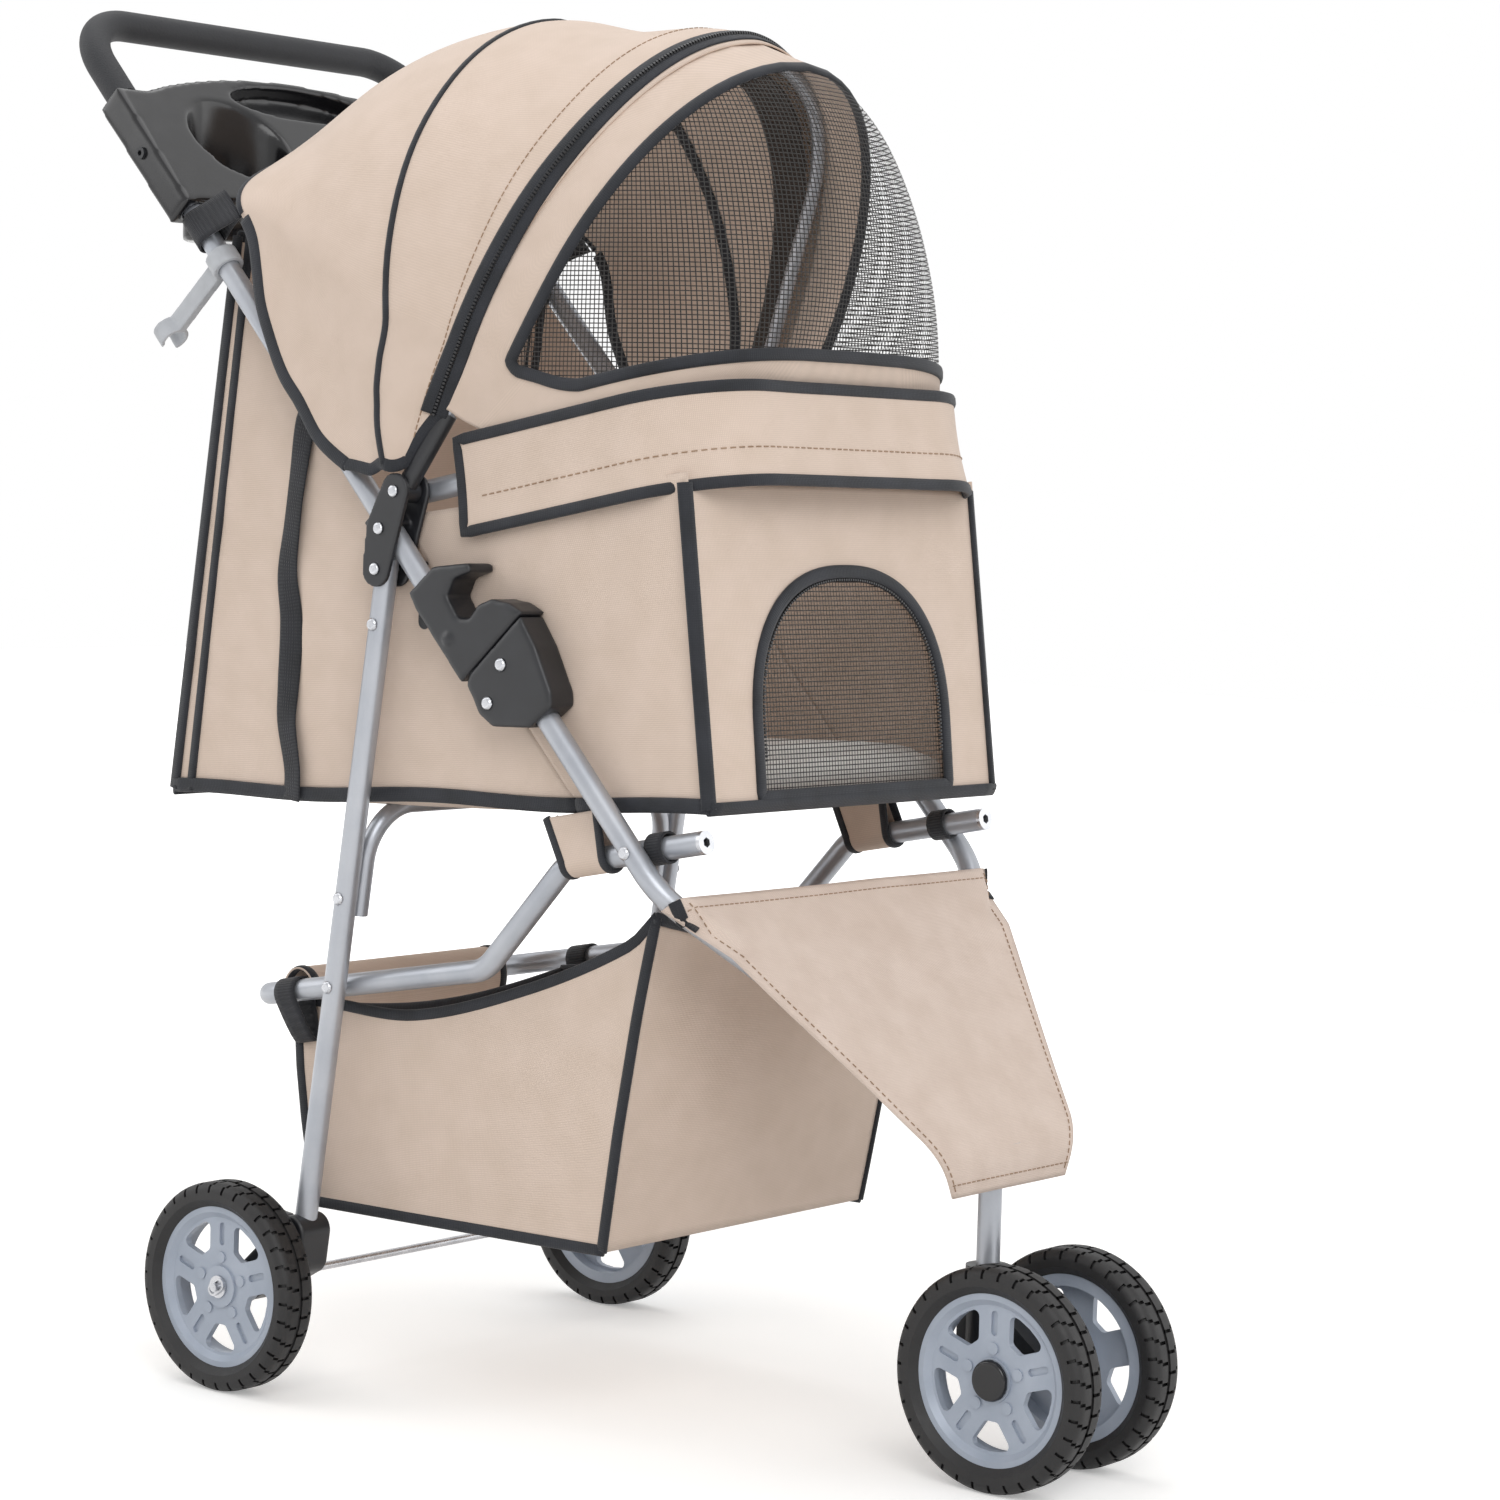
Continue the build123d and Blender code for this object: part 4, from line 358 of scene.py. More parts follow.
# Cup tray: one black ABS moulding with two cups and a pocket, its sleeves screwed to the handle legs.
# Its edges flow into each other, so it is a softened copy of the solid; the screws are black.
# Moulded ABS: charcoal, half gloss outside, with slow waves in its reflections
tray_abs = hard_finish("black_tray_abs", "18181B", "121214", 0.20, 0.0, 60.0, 2.5, 0.01)
dress(softened_copy("cup_tray", 2.0, 14), tray_abs)
finish_nodes(black_nylon, "tray_screws")

# Fold clip: a grey acetal arm, moulded in one with the ring that holds it on the upper tube.
# It turns on the tube and catches the leg when the frame is folded.
# Acetal: pale grey, waxy and smooth
grey_acetal = hard_finish("grey_acetal", "BBBEC3", "A9ACB1", 0.45, 0.0, 18.0, 1.0, 0.04)
dress(softened_copy("fold_clip", 0.9, 4), grey_acetal)

# Cabin floor: tan oxford polyester round a stiff board, sewn to the cabin's four walls.
# It lies on the seat bar and the rear cross bar, and its cloth sags a little below its binding.
CABIN_X = 160.0
FRONT_LOW = (-196.0, 443.0)
REAR_LOW = (315.0, 422.0)
TUBE_LOW = (-82.0, 438.5)
FLOOR_FRONT = FRONT_LOW[0] + 1.0
FLOOR_CUT = TUBE_LOW[0]
FLOOR_REAR = REAR_LOW[0] - 1.0
FLOOR_THICK = 2.4
FLOOR_SAG = 7.0
TUBE_ALONG = Vector((0.0, 0.6782, 0.7349))
TUBE_ACROSS = Vector((0.0, -0.7349, 0.6782))
FOLD_PLACE = (0.0, -0.0225, 0.5043)
FOLD_PIVOT = Vector(FOLD_PLACE) / MM


def oxford_cloth(name, light, dark, thread=1.4, rib=1.0, rough=0.85, relief=0.3):
    """Woven cloth on its own UV lengths: crossed threads, a drift of tone and soft unevenness."""
    material, tree, shader, place = new_finish(name)
    drift = add_node(tree, "ShaderNodeTexNoise", {
        "Vector": place["Object"], "Scale": 1 / (28 * MM), "Detail": 4.0})
    tone = add_node(tree, "ShaderNodeMapRange", {
        "Value": drift.outputs["Fac"], "From Min": 0.3, "From Max": 0.65})
    colour = add_node(tree, "ShaderNodeMix", {
        0: tone.outputs[0], 6: screen_colour(dark), 7: screen_colour(light)}, data_type="RGBA")
    warp = add_node(tree, "ShaderNodeTexWave", {
        "Vector": place["UV"], "Scale": pi / (10 * thread * MM), "Distortion": 0.6, "Detail": 1.0},
        bands_direction="X")
    weft = add_node(tree, "ShaderNodeTexWave", {
        "Vector": place["UV"], "Scale": pi / (10 * thread * rib * MM), "Distortion": 0.6, "Detail": 1.0},
        bands_direction="Y")
    weave = add_node(tree, "ShaderNodeMath", {
        0: warp.outputs["Fac"], 1: weft.outputs["Fac"]}, operation="MULTIPLY")
    tint = add_node(tree, "ShaderNodeMix", {
        0: 0.14, 6: colour.outputs[2], 7: weave.outputs[0]}, data_type="RGBA", blend_type="MULTIPLY")
    rumple = add_node(tree, "ShaderNodeTexNoise", {
        "Vector": place["Object"], "Scale": 1 / (110 * MM), "Detail": 2.0})
    sag = add_node(tree, "ShaderNodeBump", {
        "Height": rumple.outputs["Fac"], "Strength": 0.2, "Distance": 10 * MM})
    knit = add_node(tree, "ShaderNodeBump", {
        "Height": weave.outputs[0], "Strength": relief, "Distance": 0.3 * thread * MM,
        "Normal": sag.outputs[0]})
    add_node(tree, shader, {
        "Base Color": tint.outputs[2], "Normal": knit.outputs[0], "Roughness": rough,
        "Sheen Weight": 0.12, "Sheen Roughness": 0.5, "Specular IOR Level": 0.25})
    return material


def woven(name, spots, faces, lengths):
    """Smooth piece from its points and faces, with its lengths in metres as UV."""
    mesh = bpy.data.meshes.new(name)
    mesh.from_pydata(spots, [], faces)
    layer = mesh.uv_layers.new(name="cloth")
    for k, length in enumerate(lengths):
        layer.data[k].uv = length
    mesh.polygons.foreach_set("use_smooth", [True] * len(mesh.polygons))
    return placed(name, mesh)


def cloth_grid(name, point, across, along, thick=0.0, loop=False, size=(1.0, 1.0)):
    """Cloth through point(u, v) in millimetres, with its size in metres and a thickness."""
    rows = across if loop else across + 1
    spots = [Vector(point(i / across, j / along)) * MM for i in range(rows) for j in range(along + 1)]
    faces = []
    lengths = []
    for i in range(across):
        for j in range(along):
            a = i * (along + 1) + j
            b = (i + 1) % rows * (along + 1) + j
            faces.append((a, b, b + 1, a + 1))
            for m, n in ((i, j), (i + 1, j), (i + 1, j + 1), (i, j + 1)):
                lengths.append((m / across * size[0], n / along * size[1]))
    piece = woven(name, spots, faces, lengths)
    if thick:
        wall = piece.modifiers.new("wall", "SOLIDIFY")
        wall.thickness = thick * MM
        wall.offset = 0.0
        settle(piece)
    return piece


def arc(t):
    """Rise and fall from 0 to 1 and back over a span, flat outside it."""
    return sin(pi * max(0.0, min(1.0, t)))


def floor_z(y):
    """Height of the cabin floor's edge, which slopes down to the rear."""
    return FRONT_LOW[1] + (REAR_LOW[1] - FRONT_LOW[1]) * (y - FRONT_LOW[0]) / (REAR_LOW[0] - FRONT_LOW[0])


def floor_part(start, end):
    """Stretch of the floor from one place along the cabin to another, sagging between its edges."""
    def point(u, v):
        y = start + (end - start) * v
        edge = min(1.0, 12.0 * min(u, 1 - u)) ** 0.5
        sag = FLOOR_SAG * arc((y - FLOOR_FRONT) / (FLOOR_REAR - FLOOR_FRONT)) ** 0.5 * edge
        return (-CABIN_X + 2 * CABIN_X * u, y, floor_z(y) + 0.5 - sag)
    return point


def folds_flat(piece):
    """Give a piece of the cabin's rear half its own mesh."""
    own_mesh(piece)


# Oxford polyester: warm tan, dull and even; its 0.5 mm threads are drawn at 1.4 mm to show
tan_oxford = oxford_cloth("tan_oxford_polyester", "E4D0C1", "DECABA")
# The floor is cut at the upper tube, as the sides are, so that its front stays with the front panel
floor_front = cloth_grid(
    "cabin_floor_front", floor_part(FLOOR_FRONT, FLOOR_CUT), 40, 9, FLOOR_THICK, size=(0.32, 0.113))
dress(floor_front, tan_oxford, "upper_frame")
floor_cloth = cloth_grid(
    "cabin_floor_cloth", floor_part(FLOOR_CUT, FLOOR_REAR), 40, 31, FLOOR_THICK, size=(0.32, 0.396))
dress(floor_cloth, tan_oxford, "upper_frame")
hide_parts("cabin_floor")
folds_flat(floor_cloth)

# Floor pad: brushed polyester over a thin sheet of wadding, sewn across in channels and laid in loose.
# It is filled by a short cloth run, and the seams are drawn in afterwards.
PAD_SHARE = (0.965, 0.975, 0.92)
PAD_VOXEL = 6.0
PAD_PRESSURE = 4.0
PAD_STEPS = 20
PAD_SWELL = 5.0
PAD_LOFT = 1.5
PAD_BASE = 3.2
CHANNEL_STEP = 82.0
CHANNEL_HALF = 7.0
CHANNEL_DEEP = 0.45
pad = skinned_copy("floor_pad", PAD_VOXEL, PAD_SHARE)
flat_spots = [v.co.copy() for v in pad.data.vertices]
filling = pad.modifiers.new("filling", "CLOTH")
filling.settings.use_pressure = True
filling.settings.uniform_pressure_force = PAD_PRESSURE
filling.settings.effector_weights.gravity = 0.0
for step in range(1, PAD_STEPS + 1):
    bpy.context.scene.frame_set(step)
settle(pad)
bpy.context.scene.frame_set(1)
for spot, start in zip(pad.data.vertices, flat_spots):
    move = spot.co - start
    if move.length > PAD_SWELL * MM:
        spot.co = start + move * (PAD_SWELL * MM / move.length)
finer = pad.modifiers.new("finer", "SUBSURF")
finer.levels = 1
finer.render_levels = 1
settle(pad)
for spot in pad.data.vertices:
    y = spot.co.y / MM
    base = floor_z(y) + PAD_BASE
    tall = spot.co.z / MM - base
    seam = 1.0 - min(1.0, abs((y - FRONT_LOW[0]) % CHANNEL_STEP - CHANNEL_STEP / 2) / CHANNEL_HALF)
    if tall > 6.0:
        tall -= CHANNEL_DEEP * (tall - 4.0) * seam * seam * (3 - 2 * seam)
    spot.co.z = (base + PAD_LOFT * max(0.0, tall)) * MM
bpy.ops.object.shade_smooth()
# Brushed polyester: pale warm grey, with a short nap that softens every edge; tufts drawn at 2.5 mm
brushed_polyester, tree, shader, place = new_finish("brushed_polyester")
nap = add_node(tree, "ShaderNodeTexNoise", {
    "Vector": place["Object"], "Scale": 1 / (2.5 * MM), "Detail": 3.0})
cloud = add_node(tree, "ShaderNodeTexNoise", {
    "Vector": place["Object"], "Scale": 1 / (35 * MM), "Detail": 3.0})
shade = add_node(tree, "ShaderNodeMix", {
    0: cloud.outputs["Fac"], 6: screen_colour("D6D1CB"), 7: screen_colour("E8E5E1")}, data_type="RGBA")
tufts = add_node(tree, "ShaderNodeBump", {
    "Height": nap.outputs["Fac"], "Strength": 0.4, "Distance": 1.2 * MM})
add_node(tree, shader, {
    "Base Color": shade.outputs[2], "Normal": tufts.outputs[0], "Roughness": 0.9,
    "Sheen Weight": 0.3, "Sheen Roughness": 0.6})
dress(pad, brushed_polyester, "upper_frame")
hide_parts("floor_pad")
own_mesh(pad)

# Cabin sides: tan oxford walls sewn to the floor, the band and the rear, full between their seams.
# Each is one cloth on the real cabin, cut here behind the upper tube so that it can fold.
FRONT_TOP = (-169.0, 664.0)
TUBE_TOP = (92.0, 628.0)
TUBE_END = (258.0, 808.0)
REAR_TOP = (259.0, 826.0)
WALL_THICK = 1.3
WALL_FULL = 2.6
WALL_SPAN = 500.0
SIDES = (("right", -1), ("left", 1))


def between(a, b, share):
    """Place at a share of the way from one place to another."""
    return tuple(p + (q - p) * share for p, q in zip(a, b))


def side_wall(side, low_a, top_a, low_b, top_b):
    """Wall between two edges of the cabin's side, with slack that hangs in long upright folds."""
    def point(u, v):
        y, z = between(between(low_a, top_a, v), between(low_b, top_b, v), u)
        slack = noise.noise(Vector((y * 0.020, z * 0.004, side * 3.0)))
        dimple = noise.noise(Vector((y * 0.045, z * 0.030, side * 5.0)))
        full = WALL_FULL * arc(v) ** 0.7 * arc((y - FRONT_LOW[0]) / WALL_SPAN)
        return (side * (CABIN_X + full + (2.0 * slack + 0.6 * dimple) * arc(v)), y, z)
    return point


for name, side in SIDES:
    front_wall = cloth_grid(
        "cabin_side_front_" + name, side_wall(side, FRONT_LOW, FRONT_TOP, TUBE_LOW, TUBE_TOP), 40, 40,
        WALL_THICK, size=(0.2, 0.22))
    dress(front_wall, tan_oxford, "upper_frame")
    rear_wall = cloth_grid(
        "cabin_side_rear_" + name, side_wall(side, TUBE_LOW, TUBE_END, REAR_LOW, REAR_TOP), 60, 60,
        WALL_THICK, size=(0.4, 0.4))
    dress(rear_wall, tan_oxford, "upper_frame")
    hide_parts("cabin_side_" + name)
    folds_flat(rear_wall)

# Cabin rear: one panel of the same tan oxford, full between its seams.
# It is sewn to the floor and the two sides, and ends under the tray.
REAR_FULL = 5.0
REAR_TUCK = 1.5


def rear_point(u, v):
    x = CABIN_X - 2 * CABIN_X * u
    y, z = between(REAR_LOW, REAR_TOP, v)
    slack = noise.noise(Vector((x * 0.014, v * 2.0, 7.0)))
    full = REAR_FULL * arc(u) * arc(v) + 2.0 * slack * arc(v)
    return (x, y + full - REAR_TUCK, z)


rear_cloth = cloth_grid("cabin_rear_cloth", rear_point, 40, 50, WALL_THICK, size=(0.32, 0.41))
dress(rear_cloth, tan_oxford, "upper_frame")
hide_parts("cabin_rear")
folds_flat(rear_cloth)

# Side straps: 20 mm nylon webbing sewn down each side from the hood's edge to the floor seam.
# It is slack, so it waves a little on the cloth.
STRAP_WIDE = 20.0
STRAP_THICK = 1.7
STRAP_TOP = 706.0
STRAP_RUN = 284.0
STRAP_OUT = 4.6
TAPE_SIDES = 10
TAPE_ROUND = 2 / 2.6


def swell(share, power):
    """Power of a share that keeps its sign, which squares or rounds a curve."""
    return copysign(abs(share) ** power, share)


def tape(name, spots, faces_to, width, height, closed=False):
    """Folded tape along spots in millimetres, lying square to the way it faces."""
    count = len(spots)
    sides = TAPE_SIDES
    verts = []
    runs = [0.0]
    for i in range(count):
        before = spots[i - 1] if (i or closed) else spots[i]
        after = spots[(i + 1) % count] if (i < count - 1 or closed) else spots[i]
        along = (after - before).normalized()
        rise = (faces_to[i] - along * faces_to[i].dot(along)).normalized()
        wide = along.cross(rise)
        runs.append(runs[-1] + (spots[(i + 1) % count] - spots[i]).length)
        for k in range(sides):
            x = width / 2 * swell(cos(2 * pi * k / sides), TAPE_ROUND)
            y = height / 2 * swell(sin(2 * pi * k / sides), TAPE_ROUND)
            verts.append((spots[i] + wide * x + rise * y) * MM)
    faces = []
    corners = []
    for i in range(count if closed else count - 1):
        n = (i + 1) % count
        for k in range(sides):
            m = (k + 1) % sides
            faces.append((i * sides + k, i * sides + m, n * sides + m, n * sides + k))
            corners += [(i, k), (i, k + 1), (i + 1, k + 1), (i + 1, k)]
    if not closed:
        faces.append(tuple(reversed(range(sides))))
        faces.append(tuple(range((count - 1) * sides, count * sides)))
        corners += [(0, k) for k in reversed(range(sides))] + [(count - 1, k) for k in range(sides)]
    girth = 2 * (width + height)
    return woven(name, verts, faces, [(runs[i] * MM, k / sides * girth * MM) for i, k in corners])


def through(x, *pairs):
    """Smooth value through pairs of (place, value)."""
    if x <= pairs[0][0]:
        return pairs[0][1]
    if x >= pairs[-1][0]:
        return pairs[-1][1]
    i = max(k for k in range(len(pairs) - 1) if pairs[k][0] <= x)
    slopes = []
    for k in (i, i + 1):
        a = pairs[max(0, k - 1)]
        b = pairs[min(len(pairs) - 1, k + 1)]
        slopes.append((b[1] - a[1]) / (b[0] - a[0]))
    span = pairs[i + 1][0] - pairs[i][0]
    t = (x - pairs[i][0]) / span
    start = (2 * t ** 3 - 3 * t ** 2 + 1) * pairs[i][1] + (t ** 3 - 2 * t ** 2 + t) * span * slopes[0]
    end = (3 * t ** 2 - 2 * t ** 3) * pairs[i + 1][1] + (t ** 3 - t ** 2) * span * slopes[1]
    return start + end


# Nylon webbing: black, with cross ribs that catch the light, drawn at 2.4 mm to show
nylon_webbing = oxford_cloth("black_nylon_webbing", "303136", "232427", 2.4, 0.5, 0.7, 0.6)
for name, side in SIDES:
    spots = []
    faces_to = []
    for i in range(61):
        z = STRAP_TOP - STRAP_RUN * i / 60
        y = through(
            z, (422, 189), (444, 188), (479, 194.5), (501, 194), (551, 193), (583, 197), (616, 193),
            (651, 189), (690, 183), (706, 175))
        spots.append(Vector((side * (CABIN_X + STRAP_OUT + 0.8 * sin(z / 23.0)), y, z)))
        faces_to.append(Vector((side, 0.18 * sin(z / 31.0), 0.0)))
    strap = tape("side_strap_" + name, spots, faces_to, STRAP_WIDE, STRAP_THICK)
    dress(strap, nylon_webbing, "upper_frame")
    folds_flat(strap)

# Cabin front: tan oxford sewn to the floor and the band, leaning back a little.
# An arched doorway is cut in it, and the door is sewn in along its foot.
PANEL_LEAN = radians(7.6)
PANEL_HALF = 160.5
PANEL_HIGH = 216.0
PANEL_FULL = 4.0
DOOR_HALF = 106.0
DOOR_SIDE = 45.0
DOOR_LOW = 6.0
DOOR_MID = 70.0
DOOR_SQUARE = 0.84


def front_point(x, t, out=0.0):
    """Point of the front panel at x and a height t up its slope."""
    full = PANEL_FULL * arc(t / PANEL_HIGH) * cos(pi * x / (2 * PANEL_HALF)) + out
    return (x, FRONT_LOW[0] + t * sin(PANEL_LEAN) - full * cos(PANEL_LEAN),
            FRONT_LOW[1] + t * cos(PANEL_LEAN) + full * sin(PANEL_LEAN))


def door_edge(a):
    """Place (x, t) on the doorway at a share a of the way round, from its lower right."""
    bow = pi * DOOR_HALF
    run = (a % 1.0) * (2 * DOOR_SIDE + bow + 2 * DOOR_HALF)
    if run < DOOR_SIDE:
        return (-DOOR_HALF, DOOR_LOW + run)
    run -= DOOR_SIDE
    if run < bow:
        turn = pi - run / DOOR_HALF
        tall = DOOR_HALF * sin(turn) ** DOOR_SQUARE
        return (DOOR_HALF * swell(cos(turn), DOOR_SQUARE), DOOR_LOW + DOOR_SIDE + tall)
    run -= bow
    if run < DOOR_SIDE:
        return (DOOR_HALF, DOOR_LOW + DOOR_SIDE - run)
    return (DOOR_HALF - (run - DOOR_SIDE), DOOR_LOW)


def doorway_point(u, v):
    x, t = door_edge(u)
    wide = PANEL_HALF / max(abs(x), 1e-6)
    if t > DOOR_MID:
        tall = (PANEL_HIGH - DOOR_MID) / (t - DOOR_MID)
    else:
        tall = (DOOR_MID + 2.0) / max(DOOR_MID - t, 1e-6)
    reach = (min(wide, tall) - 1) * v + 1
    return front_point(x * reach, DOOR_MID + (t - DOOR_MID) * reach)


def lay_lengths(piece, length):
    """UV lengths of a cloth from the place of each of its points, by length(spot) in metres."""
    layer = piece.data.uv_layers["cloth"]
    for k, corner in enumerate(piece.data.loops):
        layer.data[k].uv = length(piece.data.vertices[corner.vertex_index].co)


def upright(spot):
    """Lengths across and up, for a cloth that hangs straight."""
    return (spot.x, spot.z)


front_cloth = cloth_grid("cabin_front_cloth", doorway_point, 200, 16, WALL_THICK, loop=True)
lay_lengths(front_cloth, upright)
dress(front_cloth, tan_oxford, "upper_frame")
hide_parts("cabin_front")

# Front door: an arch of black net in a bound edge, zipped round the arch and sewn along its foot.
# It opens forwards and down about that seam.
NET_PITCH = 3.2
NET_THREAD = 0.24
ZIP_INSET = 0.935
COIL_LONG = 1.5
COIL_GAP = 1.1
ARCH_SHARE = (2 * DOOR_SIDE + pi * DOOR_HALF) / (2 * DOOR_SIDE + (pi + 2) * DOOR_HALF)


def join_pieces(name, pieces):
    """One object from several."""
    bpy.ops.object.select_all(action="DESELECT")
    for piece in pieces:
        piece.select_set(True)
    bpy.context.view_layer.objects.active = pieces[0]
    bpy.ops.object.join()
    pieces[0].name = name
    return pieces[0]


def thread_row(name, spots, faces_to, length, gap, width):
    """Row of short rounded bars along spots, such as stitches or the coils of a zip."""
    sides = 6
    form = bmesh.new()
    start = 0.0
    for a, b, out in zip(spots, spots[1:], faces_to):
        run = (b - a).length
        along = (b - a) / run
        wide = along.cross(out)
        while start < run:
            rings = []
            for end in (start, start + length):
                for k in range(sides):
                    turn = 2 * pi * k / sides
                    rim = (wide * cos(turn) + out * sin(turn)) * width / 2
                    rings.append(form.verts.new((a + along * end + rim) * MM))
            for k in range(sides):
                m = (k + 1) % sides
                form.faces.new((rings[k], rings[m], rings[sides + m], rings[sides + k]))
            form.faces.new(rings[sides - 1::-1])
            form.faces.new(rings[sides:])
            start += length + gap
        start -= run
    mesh = bpy.data.meshes.new(name)
    form.to_mesh(mesh)
    form.free()
    return placed(name, mesh)


def door_point(u, v):
    x, t = door_edge(u)
    return front_point(x * (1 - v), DOOR_MID + (t - DOOR_MID) * (1 - v), -1.0)


# Polyester net: black threads knitted in squares with clear holes, drawn at 3.2 mm to show
black_net, tree, shader, place = new_finish("black_polyester_net")
lengths = add_node(tree, "ShaderNodeSeparateXYZ", {0: place["UV"]})
near = []
for axis in (0, 1):
    fold = add_node(tree, "ShaderNodeMath", {
        0: lengths.outputs[axis], 1: NET_PITCH / 2 * MM}, operation="PINGPONG")
    near.append(add_node(tree, "ShaderNodeMath", {
        0: fold.outputs[0], 1: NET_PITCH * NET_THREAD / 2 * MM}, operation="LESS_THAN"))
threads = add_node(tree, "ShaderNodeMath", {
    0: near[0].outputs[0], 1: near[1].outputs[0]}, operation="MAXIMUM")
cloud = add_node(tree, "ShaderNodeTexNoise", {
    "Vector": place["Object"], "Scale": 1 / (16 * MM), "Detail": 2.0})
shade = add_node(tree, "ShaderNodeMix", {
    0: cloud.outputs["Fac"], 6: screen_colour("0F0E0E"), 7: screen_colour("24211F")}, data_type="RGBA")
add_node(tree, shader, {"Base Color": shade.outputs[2], "Alpha": threads.outputs[0], "Roughness": 0.7})
door_net = cloth_grid("door_net", door_point, 160, 30, loop=True)
lay_lengths(door_net, upright)
dress(door_net, black_net, "door")
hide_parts("front_door")
# Grosgrain tape: folded over raw edges and sewn; charcoal, with ribs drawn at 1.6 mm to show
grosgrain = oxford_cloth("charcoal_grosgrain", "303238", "25272B", 1.6, 0.6, 0.65, 0.4)
panel_out = Vector((0.0, -cos(PANEL_LEAN), sin(PANEL_LEAN)))
spots = [Vector(front_point(*door_edge(i / 180), 1.2)) for i in range(180)]
door_trim = tape("door_binding", spots, [panel_out] * len(spots), 9.5, 4.2, closed=True)
dress(door_trim, grosgrain, "door")
# Zip coil: moulded nylon, black and slightly glossy
zip_nylon = hard_finish("black_zip_nylon", "202023", "161618", 0.35, 0.0, 10.0, 0.8, 0.05)
spots = []
for i in range(10, 191):
    x, t = door_edge(ARCH_SHARE * i / 200)
    spots.append(Vector(front_point(x * ZIP_INSET, DOOR_MID + (t - DOOR_MID) * ZIP_INSET, 1.0)))
door_coil = thread_row("door_zip_teeth", spots, [panel_out] * len(spots), COIL_LONG, COIL_GAP, 2.6)
dress(door_coil, zip_nylon, "door")

# Cabin bindings: grosgrain tape folded over every outer seam of the cabin and sewn through.
# It is doubled at the rear corners. The front half's tape stays with the front panel as the frame folds.
BINDING_WIDE = 11.0
BINDING_NARROW = 10.0
BINDING_TALL = 4.8


def floor_tape(side, start, end, count):
    """Binding along the floor's side seam from one place along the cabin to another."""
    spots = []
    for i in range(count):
        y = start + (end - start) * i / (count - 1)
        spots.append(Vector((side * (CABIN_X + 1.2), y, floor_z(y) + 1.0 + 1.6 * sin(y / 37.0))))
    return tape("floor_tape", spots, [Vector((side, 0, -0.25))] * count, BINDING_WIDE, BINDING_TALL)


def cross_tape(half, y, z, out):
    """Binding straight across the cabin, at its foot or its rear."""
    spots = [Vector((-half + 2 * half * i / 30, y, z)) for i in range(31)]
    return tape("cross_tape", spots, [Vector(out)] * 31, BINDING_NARROW, BINDING_TALL)


pieces = []
for name, side in SIDES:
    spots = [Vector(front_point(side * PANEL_HALF, PANEL_HIGH * i / 30)) for i in range(31)]
    out = Vector((side * 0.5, -0.85, 0.1))
    pieces.append(tape("corner_tape", spots, [out] * 31, BINDING_WIDE, BINDING_TALL))
pieces.append(cross_tape(PANEL_HALF, FRONT_LOW[0] - 0.5, FRONT_LOW[1] + 0.5, (0.0, -0.9, -0.4)))
for name, side in SIDES:
    pieces.append(floor_tape(side, FRONT_LOW[0], FLOOR_CUT, 15))
corner_trim = join_pieces("cabin_corner_binding", pieces)
dress(corner_trim, grosgrain, "upper_frame")
pieces = []
for name, side in SIDES:
    pieces.append(floor_tape(side, FLOOR_CUT, REAR_LOW[0], 47))
    for back, wide in ((0.0, BINDING_WIDE), (17.0, 9.0)):
        spots = []
        for i in range(31):
            y, z = between(REAR_LOW, REAR_TOP, i / 30)
            spots.append(Vector((side * (CABIN_X + 0.8), y - back * (1 - 0.25 * i / 30), z)))
        pieces.append(tape("rear_tape", spots, [Vector((side, 0.25, 0))] * 31, wide, BINDING_TALL))
for y, z in ((REAR_LOW[0] + 0.5, REAR_LOW[1] - 0.5), (REAR_TOP[0], REAR_TOP[1] - 1.0)):
    pieces.append(cross_tape(CABIN_X, y, z, (0.0, 0.9, 0.1)))
cabin_trim = join_pieces("cabin_foot_binding", pieces)
dress(cabin_trim, grosgrain, "upper_frame")
folds_flat(cabin_trim)

# Hoop band: a wide tan hem folded round the hoop tube and bound along its edges.
# A row of stitches along its middle closes it.
PIVOT_Y = 70.4
PIVOT_Z = 645.8
HOOP_LEAN = radians(11)
HOOP_HALF = 155.2
HOOP_RUN = 251.0
HOOP_CORNER = 60.0
HOOP_START = 40.0
BAND_TALL = 68.0
BAND_UNDER = 38.0
BAND_OUT = 9.8
BAND_FLARE = 3.0


def hoop_place(t, out, up):
    """Point beside the hoop at a share t of its U, moved out from the tube and up from it."""
    half = HOOP_HALF + out
    front = HOOP_RUN + out
    corner = HOOP_CORNER + out
    straight = front - corner - HOOP_START
    turn = corner * pi / 2
    total = 2 * straight + 2 * turn + 2 * (half - corner)
    run = min(t, 1 - t) * total
    side = -1 if t <= 0.5 else 1
    if run <= straight:
        x = half
        d = HOOP_START + run
    elif run <= straight + turn:
        x = half - corner + corner * cos((run - straight) / corner)
        d = front - corner + corner * sin((run - straight) / corner)
    else:
        x = half - corner - (run - straight - turn)
        d = front
    return (side * x, PIVOT_Y - d * cos(HOOP_LEAN) + up * sin(HOOP_LEAN),
            PIVOT_Z + d * sin(HOOP_LEAN) + up * cos(HOOP_LEAN))


def band_point(u, v):
    up = BAND_TALL * v - BAND_UNDER
    crease = noise.noise(Vector(hoop_place(u, 9.0, up)) * 0.02)
    return hoop_place(u, BAND_OUT + BAND_FLARE * (1 - v) ** 2 - 1.2 * arc(v) + 0.8 * crease, up)


